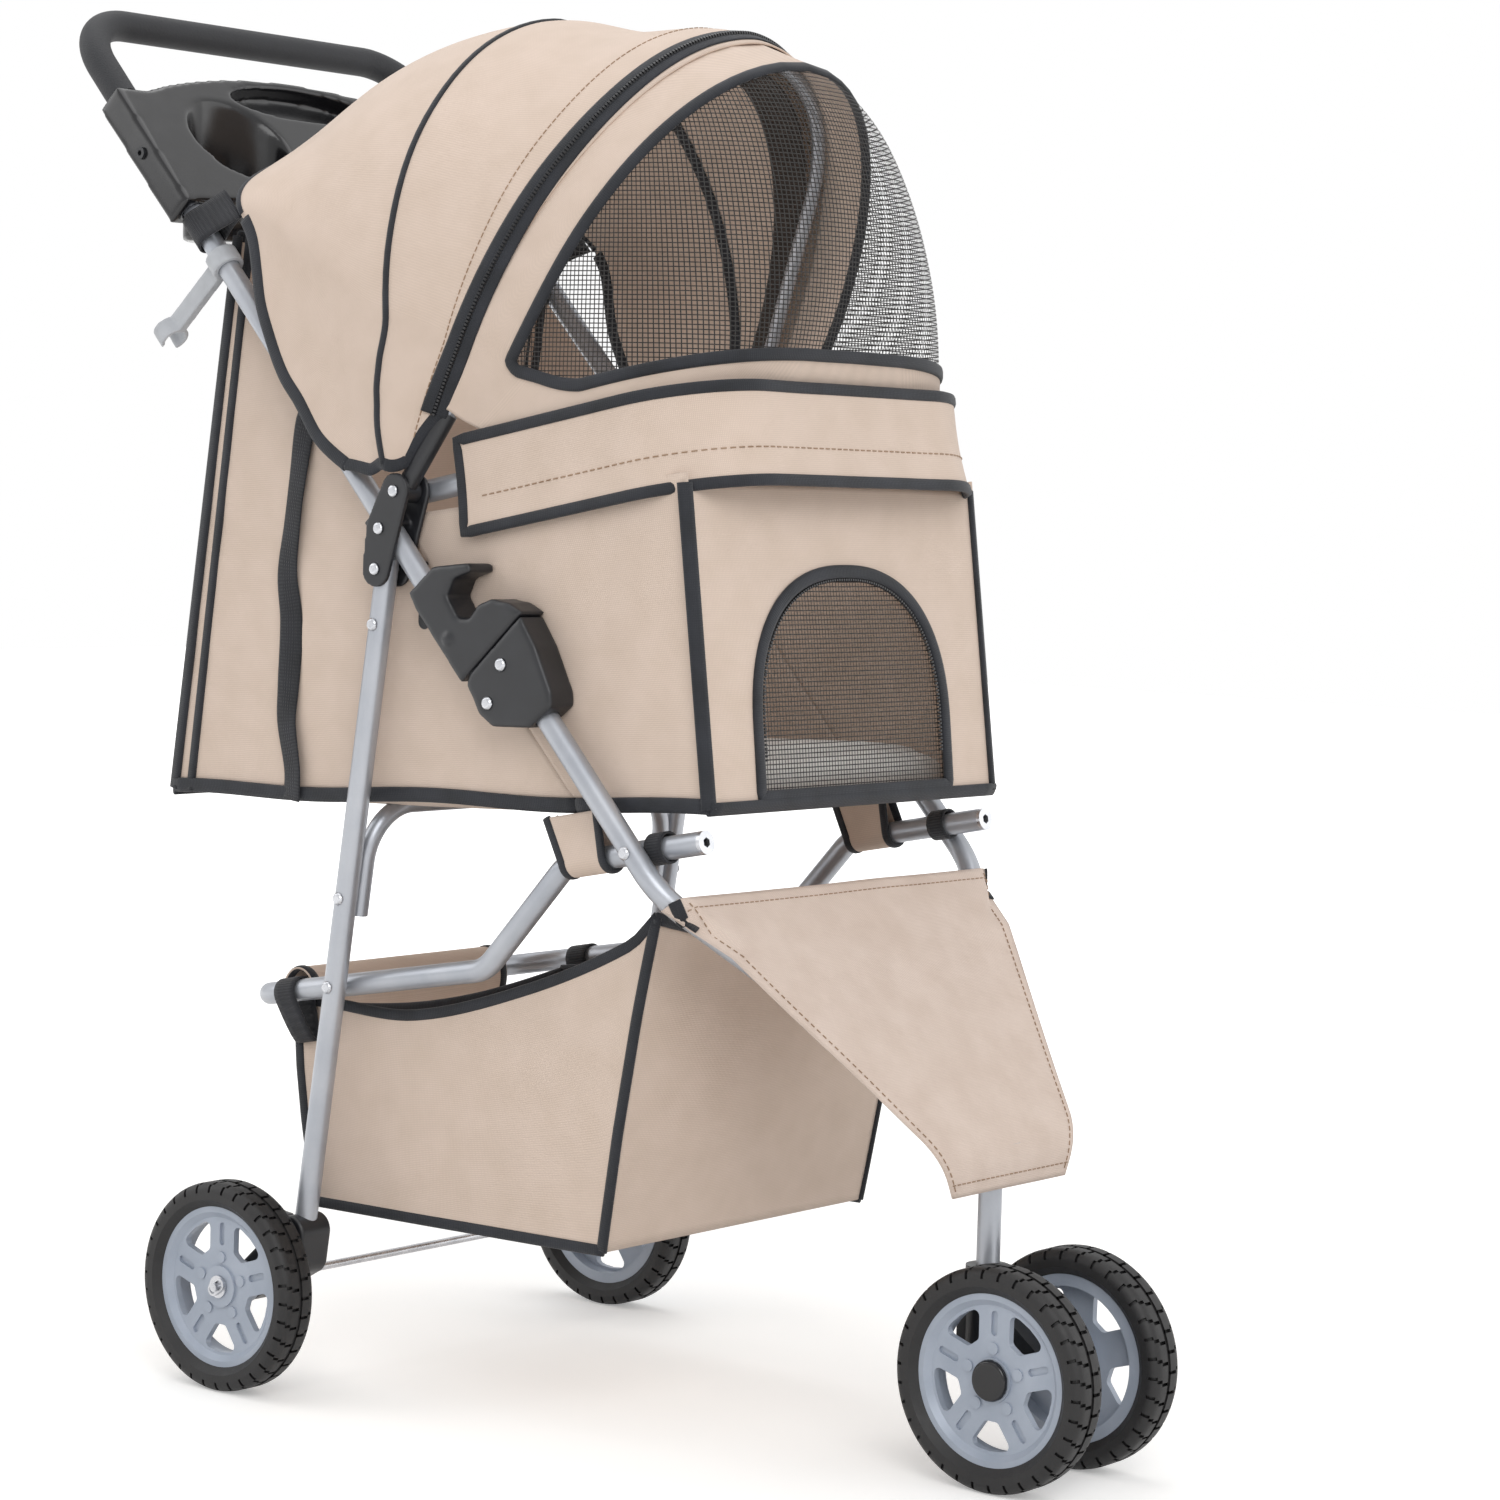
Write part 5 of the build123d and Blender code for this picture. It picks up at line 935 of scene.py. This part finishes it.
def on_cloth(point, places, lift=0.0):
    """Spots on a cloth at places (u, v), lifted off it, with the way that it faces at each."""
    spots = []
    faces_to = []
    step = 0.002
    for u, v in places:
        here = Vector(point(u, v))
        du = Vector(point(min(1.0, u + step), v)) - Vector(point(max(0.0, u - step), v))
        dv = Vector(point(u, min(1.0, v + step))) - Vector(point(u, max(0.0, v - step)))
        out = du.cross(dv).normalized()
        spots.append(here + out * lift)
        faces_to.append(out)
    return spots, faces_to


def line(start, span, count):
    """Places (u, v) at even steps along a span from a place on a cloth."""
    return [tuple(p + d * i / count for p, d in zip(start, span)) for i in range(count + 1)]


band = cloth_grid("band_cloth", band_point, 140, 14, 1.4, size=(0.78, 0.068))
dress(band, tan_oxford, "upper_frame")
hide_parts("hoop_band")
places = line((0.004, 0.03), (0.992, 0.0), 120)
places += line((0.996, 0.03), (0.0, 0.94), 10)[1:-1]
places += line((0.996, 0.97), (-0.992, 0.0), 120)
places += line((0.004, 0.97), (0.0, -0.94), 10)[1:-1]
band_trim = tape("band_binding", *on_cloth(band_point, places), 8.5, 5.0, closed=True)
dress(band_trim, grosgrain, "upper_frame")
# Sewing thread: darker than the cloth, twisted, drawn thick enough to show
sewing_thread = oxford_cloth("tan_sewing_thread", "B0937A", "9C7E64", 0.6)
places = line((0.03, 0.36), (0.94, 0.0), 200)
band_row = thread_row("band_stitches", *on_cloth(band_point, places, 1.0), 4.0, 2.6, 0.9)
dress(band_row, sewing_thread, "upper_frame")

# Hood: one tan oxford cloth stretched from the bow back over the upper tubes, cut round the brackets.
# Its rear corners are drawn down by the tray loops, and black tape binds every edge.
HOOD_FRONT = 117.4
HOOD_PINCH = 1.5
HOOD_PINCH_FROM = 105.0
HOOD_SEAM = 0.53


def arch(theta, v, wide, foot, shoulder, top, power):
    """Point of an arch at an angle round the bow's pivots: straight flanks under a round top."""
    share = 2 * v - 1
    if abs(share) > 0.5:
        r = foot + (shoulder - foot) * (1 - min(1.0, abs(share))) / 0.5
        x = wide
    else:
        turn = (1 - abs(share) / 0.5) * pi / 2
        r = shoulder + (top - shoulder) * sin(turn)
        x = wide * max(0.0, cos(turn)) ** power
    x = x if share >= 0 else -x
    return Vector((x, PIVOT_Y + r * cos(radians(theta)), PIVOT_Z + r * sin(radians(theta))))


def hood_point(u, v):
    side = 1 if v >= 0.5 else -1
    k = min(1.0, abs(2 * v - 1))
    rear = through(k, (0.0, 50.0), (0.5, 51.3), (0.552, 50.6), (0.605, 47.6), (0.652, 43.9), (0.70, 40.6),
                   (0.765, 35.7), (0.816, 33.0), (0.90, 25.5), (1.0, 21.0))
    theta = rear + (HOOD_FRONT - rear) * u
    wide = through(theta, (30, 191.5), (50, 191), (81, 193), (100, 186), (118, 174.5))
    shoulder = through(theta, (20, 250), (50, 250), (65, 172), (81, 130), (118, 112))
    top = through(theta, (49, 350), (63, 347), (86, 343), (100, 335), (112, 354), (118, 358))
    foot = through(theta, (20, 48), (28, 30), (36, 21), (60, 18.5), (104, 19), (112, 44), (118, 64))
    power = through(theta, (50, 3.0), (58, 1.8), (66, 1.3), (81, 1.15), (118, 1.05))
    if k > 0.5 and theta > HOOD_PINCH_FROM:
        wide -= HOOD_PINCH * (2 * k - 1) ** 2
    spot = arch(theta, v, wide, foot, shoulder, top, power)
    crease = noise.noise(spot * 0.011)
    return (spot.x + side * (-0.9 + 0.9 * crease), spot.y, spot.z + 1.2 * crease)


def hood_rides(piece):
    """Bake a piece of the hood's placing into its mesh."""
    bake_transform(piece)


hood = cloth_grid("hood_cloth", hood_point, 60, 160, 1.4, size=(0.36, 1.0))
dress(hood, tan_oxford)
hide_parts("hood")
hood_rides(hood)
pieces = []
for low, high, wide in ((0.003, 0.245, 11.0), (0.25, 0.75, 4.5), (0.755, 0.997, 11.0)):
    places = line((0.004, low), (0.0, high - low), 60)
    pieces.append(tape("rear_tape", *on_cloth(hood_point, places), wide, 4.2))
for v in (0.004, 0.996):
    pieces.append(tape("foot_tape", *on_cloth(hood_point, line((0.0, v), (1.0, 0.0), 120)), 9.0, 4.2))
places = line((HOOD_SEAM, 0.004), (0.0, 0.992), 90)
pieces.append(tape("piping", *on_cloth(hood_point, places, 0.6), 5.0, 4.0))
hood_trim = join_pieces("hood_binding", pieces)
dress(hood_trim, grosgrain)
hood_rides(hood_trim)
places = line((HOOD_SEAM, 0.02), (0.0, 0.96), 90)
hood_seam = tape("hood_seam_tape", *on_cloth(hood_point, places, -1.8), 11.0, 2.0)
dress(hood_seam, grosgrain)
hood_rides(hood_seam)
places = line((0.88, 0.03), (0.0, 0.94), 160)
hood_row = thread_row("hood_stitches", *on_cloth(hood_point, places, 0.9), 3.6, 1.6, 0.9)
dress(hood_row, sewing_thread)
hood_rides(hood_row)

# Bow sleeve: a facing of brown-black cloth sewn inside the hood's front edge.
# The bow runs through the pocket between the two.
SLEEVE_DEEP = 19.5
SLEEVE_FROM = (0.86, 0.06)
SLEEVE_SPAN = (0.125, 0.88)


def facing_point(u, v):
    place = (SLEEVE_FROM[0] + SLEEVE_SPAN[0] * u, SLEEVE_FROM[1] + SLEEVE_SPAN[1] * v)
    spots, faces_to = on_cloth(hood_point, [place], -SLEEVE_DEEP)
    return spots[0]


# Lining cloth: brown-black, dull and close-woven, drawn at 1.4 mm to show
dark_lining = oxford_cloth("brown_black_lining", "3C332E", "2F2824")
facing = cloth_grid("bow_sleeve_cloth", facing_point, 8, 120, 1.0, size=(0.05, 0.9))
dress(facing, dark_lining)
hood_rides(facing)

# Hood zip: a coil zip on 19 mm tape, sewn along the hood's front edge.
# It holds the top of the window panel.
ZIP_PLACE = 0.965
places = line((ZIP_PLACE, 0.03), (0.0, 0.94), 120)
zip_tape = tape("hood_zip_tape", *on_cloth(hood_point, places, 1.2), 19.0, 2.2)
dress(zip_tape, grosgrain)
hood_rides(zip_tape)
places = line((ZIP_PLACE, 0.03), (0.0, 0.94), 300)
zip_coil = thread_row("hood_zip_teeth", *on_cloth(hood_point, places, 2.5), COIL_LONG, COIL_GAP, 3.4)
dress(zip_coil, zip_nylon)
hood_rides(zip_coil)

# Window panel: a tan border round a net window in the shape of a D, bound where they are sewn together.
# It reaches from the hood's zip down to the band, and turns open about the band.
WINDOW_START = 116.4
WINDOW_FOOT = 162.0
WINDOW_HALF = 0.56


def window_point(u, v):
    theta = WINDOW_START + (WINDOW_FOOT - WINDOW_START) * u
    wide = through(theta, (116.4, 172.5), (119, 172.8), (132, 165.5), (147, 162.5), (162, 162))
    shoulder = through(theta, (116.4, 109.5), (132, 122), (147, 150), (162, 186))
    top = through(theta, (116.4, 354.8), (119, 357), (125, 361), (133, 352), (147, 312), (162, 258))
    foot = through(theta, (118, 66), (132, 66), (147, 74), (162, 80))
    power = through(theta, (118, 1.05), (135, 0.9), (162, 0.5))
    return arch(theta, v, wide, foot, shoulder, top, power)


def window_edge(t):
    """Place (u, v) on the net's edge at a share t of the way round."""
    d = sin(2 * pi * t)
    s = WINDOW_HALF * swell(cos(2 * pi * t), 0.72)
    border = through(abs(s), (0.0, 0.17), (0.35, 0.19), (0.56, 0.34))
    u = 0.50 - (0.50 - border) * d ** 0.75 if d >= 0 else 0.50 + 0.42 * (-d) ** 0.5
    return (u, (s + 1) / 2)


def border_point(a, b):
    u, v = window_edge(a)
    du = u - 0.5
    dv = 2 * v - 1
    reach = 1 / max(2 * abs(du), abs(dv))
    return window_point(u + du * (reach - 1) * b, v + dv / 2 * (reach - 1) * b)


def pane_point(a, b):
    u, v = window_edge(a)
    return window_point(u + (0.5 - u) * b, v + (0.5 - v) * b)


def round_front(spot):
    """Lengths round the cabin's front and up, for a cloth that bends round it."""
    return (0.22 * atan2(spot.x, 0.05 - spot.y), spot.z)


border = cloth_grid("window_border", border_point, 220, 24, WALL_THICK, loop=True, size=(1.2, 0.09))
dress(border, tan_oxford, "window_flap")
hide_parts("window_panel")
pane = cloth_grid("window_net", pane_point, 220, 40, loop=True)
lay_lengths(pane, round_front)
dress(pane, black_net, "window_flap")
places = [window_edge(i / 200) for i in range(200)]
window_trim = tape("window_binding", *on_cloth(window_point, places, 0.8), 9.0, 4.4, closed=True)
dress(window_trim, grosgrain, "window_flap")

# Front cover: ribbed tan cloth drawn tight over the two front tubes, hemmed all round.
# Black tabs at its top corners tie it to the tubes.
COVER_TOP_HALF = 180.0
COVER_FOOT_HALF = 65.0
COVER_TUBE_X = 169.0
COVER_TUBE_TURN = 196.0
WRAP_SHARE = 0.2
WRAP_DEEP = 13.0
WRAP_FROM = 3.0
WRAP_WIDE = 8.0
HEM = (3.2, 2.2, 0.8)
COVER_START = 196.0
COVER_RUN = 250.5
COVER_LIFT = 35.6
COVER_DROP_Y = -333.0
COVER_BEND = 24.0


def cover_point(u, v):
    share = 2 * u - 1
    run = COVER_START + v * COVER_RUN
    x = share * (COVER_TOP_HALF + (COVER_FOOT_HALF - COVER_TOP_HALF) * v)
    lift = COVER_LIFT + 2.0 * arc(v) * (1 - share * share)
    over = max(0.0, abs(x) - (COVER_TUBE_X - COVER_TUBE_TURN * v) - WRAP_FROM) / WRAP_WIDE
    lift -= WRAP_DEEP * min(1.0, over * over) * max(0.0, 1 - v / WRAP_SHARE)
    spot = Vector((x, FOLD_PIVOT.y, FOLD_PIVOT.z)) - TUBE_ALONG * run + TUBE_ACROSS * lift
    past = COVER_DROP_Y + COVER_BEND / 2 - spot.y
    if past > 0:
        kept = past - past * past / (2 * COVER_BEND) if past < COVER_BEND else COVER_BEND / 2
        spot.z -= (past - kept) / TUBE_ALONG.y * (1 - TUBE_ALONG.z)
        spot.y += past - kept
    crease = noise.noise(Vector((x * 0.012, spot.z * 0.012, 4.0)))
    return (x, spot.y - 1.2 * crease - 0.6, spot.z + 0.8 * crease)


# Ribbed polyester: tan with a cross rib, duller than the oxford cloth, drawn at 2 mm to show
ribbed_polyester = oxford_cloth("tan_ribbed_polyester", "E8D5C8", "DFCBBD", 2.0, 0.6, 0.85, 0.5)
cover = cloth_grid("front_cover_cloth", cover_point, 60, 70, WALL_THICK, size=(0.34, 0.26))
dress(cover, ribbed_polyester, "front_frame")
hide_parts("front_cover")
pieces = []
for start, span in (
    ((0.02, 0.035), (0.96, 0.0)), ((0.02, 0.965), (0.96, 0.0)),
    ((0.03, 0.02), (0.0, 0.96)), ((0.97, 0.02), (0.0, 0.96)),
):
    pieces.append(thread_row("hem", *on_cloth(cover_point, line(start, span, 60), -1.0), *HEM))
hem = join_pieces("front_cover_stitches", pieces)
dress(hem, sewing_thread, "front_frame")
pieces = []
for u in (0.012, 0.988):
    pieces.append(tape("cover_tab", *on_cloth(cover_point, line((u, 0.0), (0.0, 0.09), 12), -1.2), 9.0, 2.4))
cover_tabs = join_pieces("front_cover_tabs", pieces)
dress(cover_tabs, nylon_webbing, "front_frame")

# Basket: a tan oxford bag hung on the seat bar, its side rims cut low to reach in, bound on every edge.
BASKET_HALF = 146.0
BASKET_FRONT = -100.0
BASKET_REAR = 176.0
BASKET_FOOT = 134.0
BASKET_FALL = 4.0
FRONT_LEAN = 41.0
FRONT_RISE = 232.0
FRONT_DIP = 22.0
REAR_LEAN = 23.0
REAR_RISE = 142.0
REAR_DIP = 14.0
RIM_TAPE = (8.5, 4.4)
SEAT_PLACE = (0.0, 0.1292, 0.2945)


def basket_side(side):
    """Side wall of the basket, full between its seams."""
    def point(u, v):
        low_y = BASKET_FRONT + (BASKET_REAR - BASKET_FRONT) * u
        top_y = low_y - FRONT_LEAN + (FRONT_LEAN + REAR_LEAN) * u
        top = through(u, (0.0, 368), (0.07, 346), (0.345, 306), (0.656, 277), (0.93, 277), (1.0, 274))
        low = BASKET_FOOT - BASKET_FALL * u
        crease = noise.noise(Vector((u * 4.0, v * 2.0, side * 2.0)))
        full = min(3.5, (4.0 + 2.0 * crease) * arc(v))
        return (side * (BASKET_HALF - 2.0 + full), low_y + (top_y - low_y) * v, low + (top - low) * v)
    return point


def basket_front(u, v):
    x = BASKET_HALF * (2 * u - 1)
    full = 5.0 * arc(v) * arc(u)
    return (x, BASKET_FRONT - FRONT_LEAN * v - full, BASKET_FOOT + FRONT_RISE * v - FRONT_DIP * v * arc(u))


def basket_rear(u, v):
    x = BASKET_HALF * (1 - 2 * u)
    low = BASKET_FOOT - BASKET_FALL
    return (x, BASKET_REAR + REAR_LEAN * v + 2.0 * arc(v), low + REAR_RISE * v - REAR_DIP * v * arc(u))


def basket_floor(u, v):
    y = BASKET_FRONT + (BASKET_REAR - BASKET_FRONT) * v
    return (BASKET_HALF * (2 * u - 1), y, BASKET_FOOT - BASKET_FALL * v - 3.0 * arc(u) * arc(v))


def basket_rides(piece):
    """Hang a piece on the seat bar and give it its own mesh."""
    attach(piece, "seat_frame")
    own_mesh(piece)


pieces = []
for wall, across, along, size in (
    (basket_side(-1), 50, 30, (0.3, 0.16)), (basket_side(1), 50, 30, (0.3, 0.16)),
    (basket_front, 40, 30, (0.29, 0.24)), (basket_rear, 40, 20, (0.29, 0.14)),
    (basket_floor, 30, 30, (0.29, 0.28)),
):
    pieces.append(cloth_grid("basket_wall", wall, across, along, WALL_THICK, size=size))
basket = join_pieces("basket_cloth", pieces)
dress(basket, tan_oxford)
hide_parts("basket")
basket_rides(basket)
pieces = []
for side in (-1, 1):
    wall = basket_side(side)
    for places in (line((0.0, 0.995), (1.0, 0.0), 40), line((0.004, 0.0), (0.0, 1.0), 30),
                   line((0.0, 0.004), (1.0, 0.0), 40), line((0.996, 0.0), (0.0, 1.0), 30)):
        spots = [Vector(wall(u, v)) for u, v in places]
        pieces.append(tape("side_tape", spots, [Vector((side, 0, 0))] * len(spots), *RIM_TAPE))
for wall, out in ((basket_front, -1), (basket_rear, 1)):
    spots = [Vector(wall(i / 30, 1.0)) for i in range(31)]
    pieces.append(tape("end_tape", spots, [Vector((0, out, 0))] * 31, *RIM_TAPE))
basket_trim = join_pieces("basket_binding", pieces)
dress(basket_trim, grosgrain)
basket_rides(basket_trim)

# Basket sleeve: a loose loop of the same cloth round the rear bar, bound at both ends.
# It keeps the basket's rear rim up.
SLEEVE_HALF = 105.0
SLEEVE_MID = (238.0, 270.0)
SLEEVE_R = (17.0, 21.0)
SLEEVE_SAG = 3.0


def sleeve_point(u, v):
    turn = 2 * pi * u
    deep = SLEEVE_R[0] + 1.5 * noise.noise(Vector((v * 5.0, u * 3.0, 2.0)))
    return (SLEEVE_HALF * (2 * v - 1), SLEEVE_MID[0] + deep * cos(turn),
            SLEEVE_MID[1] + SLEEVE_R[1] * sin(turn) - SLEEVE_SAG * arc(v) * (sin(turn) < 0))


sleeve = cloth_grid("basket_sleeve", sleeve_point, 40, 30, WALL_THICK, loop=True, size=(0.125, 0.21))
dress(sleeve, tan_oxford, "seat_frame")
pieces = []
for v in (0.02, 0.98):
    places = line((0.0, v), (1.0, 0.0), 40)[:-1]
    pieces.append(tape("sleeve_tape", *on_cloth(sleeve_point, places), 8.0, 3.6, closed=True))
sleeve_trim = join_pieces("basket_sleeve_binding", pieces)
dress(sleeve_trim, grosgrain, "seat_frame")

# Seat loops: straps of tan cloth with bound edges that sling the cabin's floor on the seat bar.
# Black webbing rings and tabs tie the basket to the same bar.
SEAT_X = 158.0
LOOP_R = 10.2
LOOP_TALL = 32.0
SLING_X = 163.0
SLING_DOWN = 0.35
SLING_UP = 0.65
SLING_LEAN = 7.0
SLING_RUN = 52.0
SLING_WIDE = 40.0
BAR_SLOPE = radians(11.3)
FRONT_PIVOT = Vector((0.0, -144.0, 412.6))
SEAT_PIVOT = Vector(SEAT_PLACE) / MM
BAR_ALONG = Vector((0.0, cos(BAR_SLOPE), -sin(BAR_SLOPE)))
BAR_UP = Vector((0.0, sin(BAR_SLOPE), cos(BAR_SLOPE)))


def sling(side):
    """Strap from the floor's seam down round the bar and up inside."""
    def point(u, v):
        if u < SLING_DOWN:
            x = SLING_X + (SEAT_X + LOOP_R - SLING_X) * u / SLING_DOWN
            h = LOOP_TALL * (1 - u / SLING_DOWN)
        elif u < SLING_UP:
            turn = pi * (u - SLING_DOWN) / (SLING_UP - SLING_DOWN)
            x = SEAT_X + LOOP_R * cos(turn)
            h = -LOOP_R * sin(turn)
        else:
            x = SEAT_X - LOOP_R + SLING_LEAN * (u - SLING_UP) / (1 - SLING_UP)
            h = LOOP_TALL * (u - SLING_UP) / (1 - SLING_UP)
        rise = max(0.0, h) / LOOP_TALL
        run = SLING_RUN + 9.0 * rise + (v - 0.5) * (SLING_WIDE + 10.0 * rise)
        spot = FRONT_PIVOT + BAR_ALONG * run + BAR_UP * h
        return (side * x, spot.y, spot.z)
    return point


def bar_ring(middle, run, half, drop, side):
    """Ring of webbing round the bar, with a tail that drops from it."""
    def point(u, v):
        turn = 2 * pi * u
        tail = drop * max(0.0, -cos(turn)) ** 3
        spot = middle + BAR_ALONG * (run + half * (2 * v - 1)) + BAR_UP * (LOOP_R * cos(turn) - tail)
        return (side * (SEAT_X + LOOP_R * sin(turn) - 0.28 * tail), spot.y, spot.z)
    return point


pieces = []
tapes = []
rings = []
for side in (-1, 1):
    pieces.append(cloth_grid("sling", sling(side), 40, 8, 1.4, size=(0.096, 0.045)))
    for v in (0.05, 0.95):
        places = line((0.0, v), (1.0, 0.0), 40)
        tapes.append(tape("sling_tape", *on_cloth(sling(side), places), 6.5, 3.4))
    for middle, run, half, drop in ((FRONT_PIVOT, -11.0, 7.0, 0.0), (SEAT_PIVOT, 60.0, 10.0, 26.0)):
        rings.append(cloth_grid("ring", bar_ring(middle, run, half, drop, side), 32, 4, 1.5, loop=True,
                                size=(0.08, 0.02)))
loops = join_pieces("seat_loop_cloth", pieces)
dress(loops, tan_oxford, "seat_frame")
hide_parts("seat_loops")
loop_trim = join_pieces("seat_loop_binding", tapes)
dress(loop_trim, grosgrain, "seat_frame")
bar_rings = join_pieces("seat_bar_webbing", rings)
dress(bar_rings, nylon_webbing, "seat_frame")

# Tray loops: black webbing looped round the upper tubes and sewn to itself.
# Each draws a rear corner of the hood down to its tube.
TRAY_X = 176.0
TRAY_RUN = 430.0
TRAY_WIDE = 26.0
TRAY_PULL = 32.0
TRAY_SLIP = 16.0
TRAY_SPREAD = 12.0


def tray_loop(side):
    """Loop round the upper tube, drawn out to a point where it pulls on the hood."""
    def point(u, v):
        turn = 2 * pi * u
        pull = max(0.0, sin(turn)) ** 3
        spot = FOLD_PIVOT + TUBE_ALONG * (TRAY_RUN + TRAY_WIDE * v - TRAY_SLIP * pull)
        spot += TUBE_ACROSS * (LOOP_R * sin(turn) + TRAY_PULL * pull)
        x = TRAY_X + LOOP_R * cos(turn) * (1 - 0.75 * pull) + TRAY_SPREAD * pull
        return (side * x, spot.y, spot.z)
    return point


pieces = []
for side in (-1, 1):
    pieces.append(cloth_grid("tray_loop", tray_loop(side), 48, 6, 1.6, loop=True, size=(0.11, 0.026)))
tray_loops = join_pieces("tray_loop_webbing", pieces)
dress(tray_loops, nylon_webbing, "upper_frame")
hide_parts("webbing_loops")

# Studio: a pale floor that keeps the shadow, in a white surround.
# Four soft lamps stand round the stroller, and a weak one lights the cabin's inside.
FLOOR_SIZE = 18.0
LAMP_AIM = Vector((0.0, -0.05, 0.5))
LAMPS = (
    ("key", (-2.2, -2.6, 2.6), 55.0, 2.2),
    ("fill", (2.6, -2.2, 1.6), 18.0, 2.4),
    ("top", (0.2, 0.6, 3.2), 28.0, 2.6),
    ("rear", (-1.6, 2.6, 2.0), 18.0, 2.0),
)
INNER_PLACE = (0.0, 0.03, 0.74)
INNER_POWER = 0.45
INNER_SIZE = 0.12


def seen_rays(tree):
    """One for rays that end in the eye, straight or by gloss or glass, and nought for the rest."""
    path = add_node(tree, "ShaderNodeLightPath", {})
    seen = add_node(tree, "ShaderNodeMath", {
        0: path.outputs["Is Camera Ray"], 1: path.outputs["Is Glossy Ray"]}, operation="MAXIMUM")
    any_seen = add_node(tree, "ShaderNodeMath", {
        0: seen.outputs[0], 1: path.outputs["Is Transmission Ray"]}, operation="MAXIMUM")
    return any_seen.outputs[0]


bpy.ops.object.select_all(action="DESELECT")
bpy.ops.mesh.primitive_plane_add(size=FLOOR_SIZE, location=(0.0, 0.0, 0.0))
studio_floor = bpy.context.active_object
studio_floor.name = "studio_floor"
# Studio paint: white and dull, brighter to the eye further out, so that no horizon shows
pale_floor, tree, shader, place = new_finish("pale_studio_floor")
far = add_node(tree, "ShaderNodeVectorMath", {0: place["Object"]}, operation="LENGTH")
haze = add_node(tree, "ShaderNodeMapRange", {
    "Value": far.outputs["Value"], "From Min": 0.7, "From Max": 3.0, "To Min": 0.30, "To Max": 0.95})
glow = add_node(tree, "ShaderNodeMath", {0: seen_rays(tree), 1: haze.outputs[0]}, operation="MULTIPLY")
add_node(tree, shader, {
    "Base Color": screen_colour("F4F3F1"), "Roughness": 0.8, "Emission Color": screen_colour("FFFFFF"),
    "Emission Strength": glow.outputs[0]})
studio_floor.data.materials.append(pale_floor)
world = bpy.data.worlds.new("studio")
bpy.context.scene.world = world
world.use_nodes = True
tree = world.node_tree
level = add_node(tree, "ShaderNodeMapRange", {"Value": seen_rays(tree), "To Min": 0.55, "To Max": 1.0})
add_node(tree, tree.nodes["Background"], {"Color": screen_colour("FFFFFF"), "Strength": level.outputs[0]})
for name, spot, power, size in LAMPS:
    light = bpy.data.lights.new(name, "AREA")
    light.energy = power
    light.size = size
    lamp = placed(name, light)
    lamp.location = spot
    lamp.rotation_mode = "QUATERNION"
    lamp.rotation_quaternion = (LAMP_AIM - Vector(spot)).to_track_quat("-Z", "Y")
inner_light = bpy.data.lights.new("inner", "POINT")
inner_light.energy = INNER_POWER
inner_light.shadow_soft_size = INNER_SIZE
inner_lamp = placed("inner", inner_light)
inner_lamp.location = INNER_PLACE
bpy.context.scene.view_settings.view_transform = "Standard"
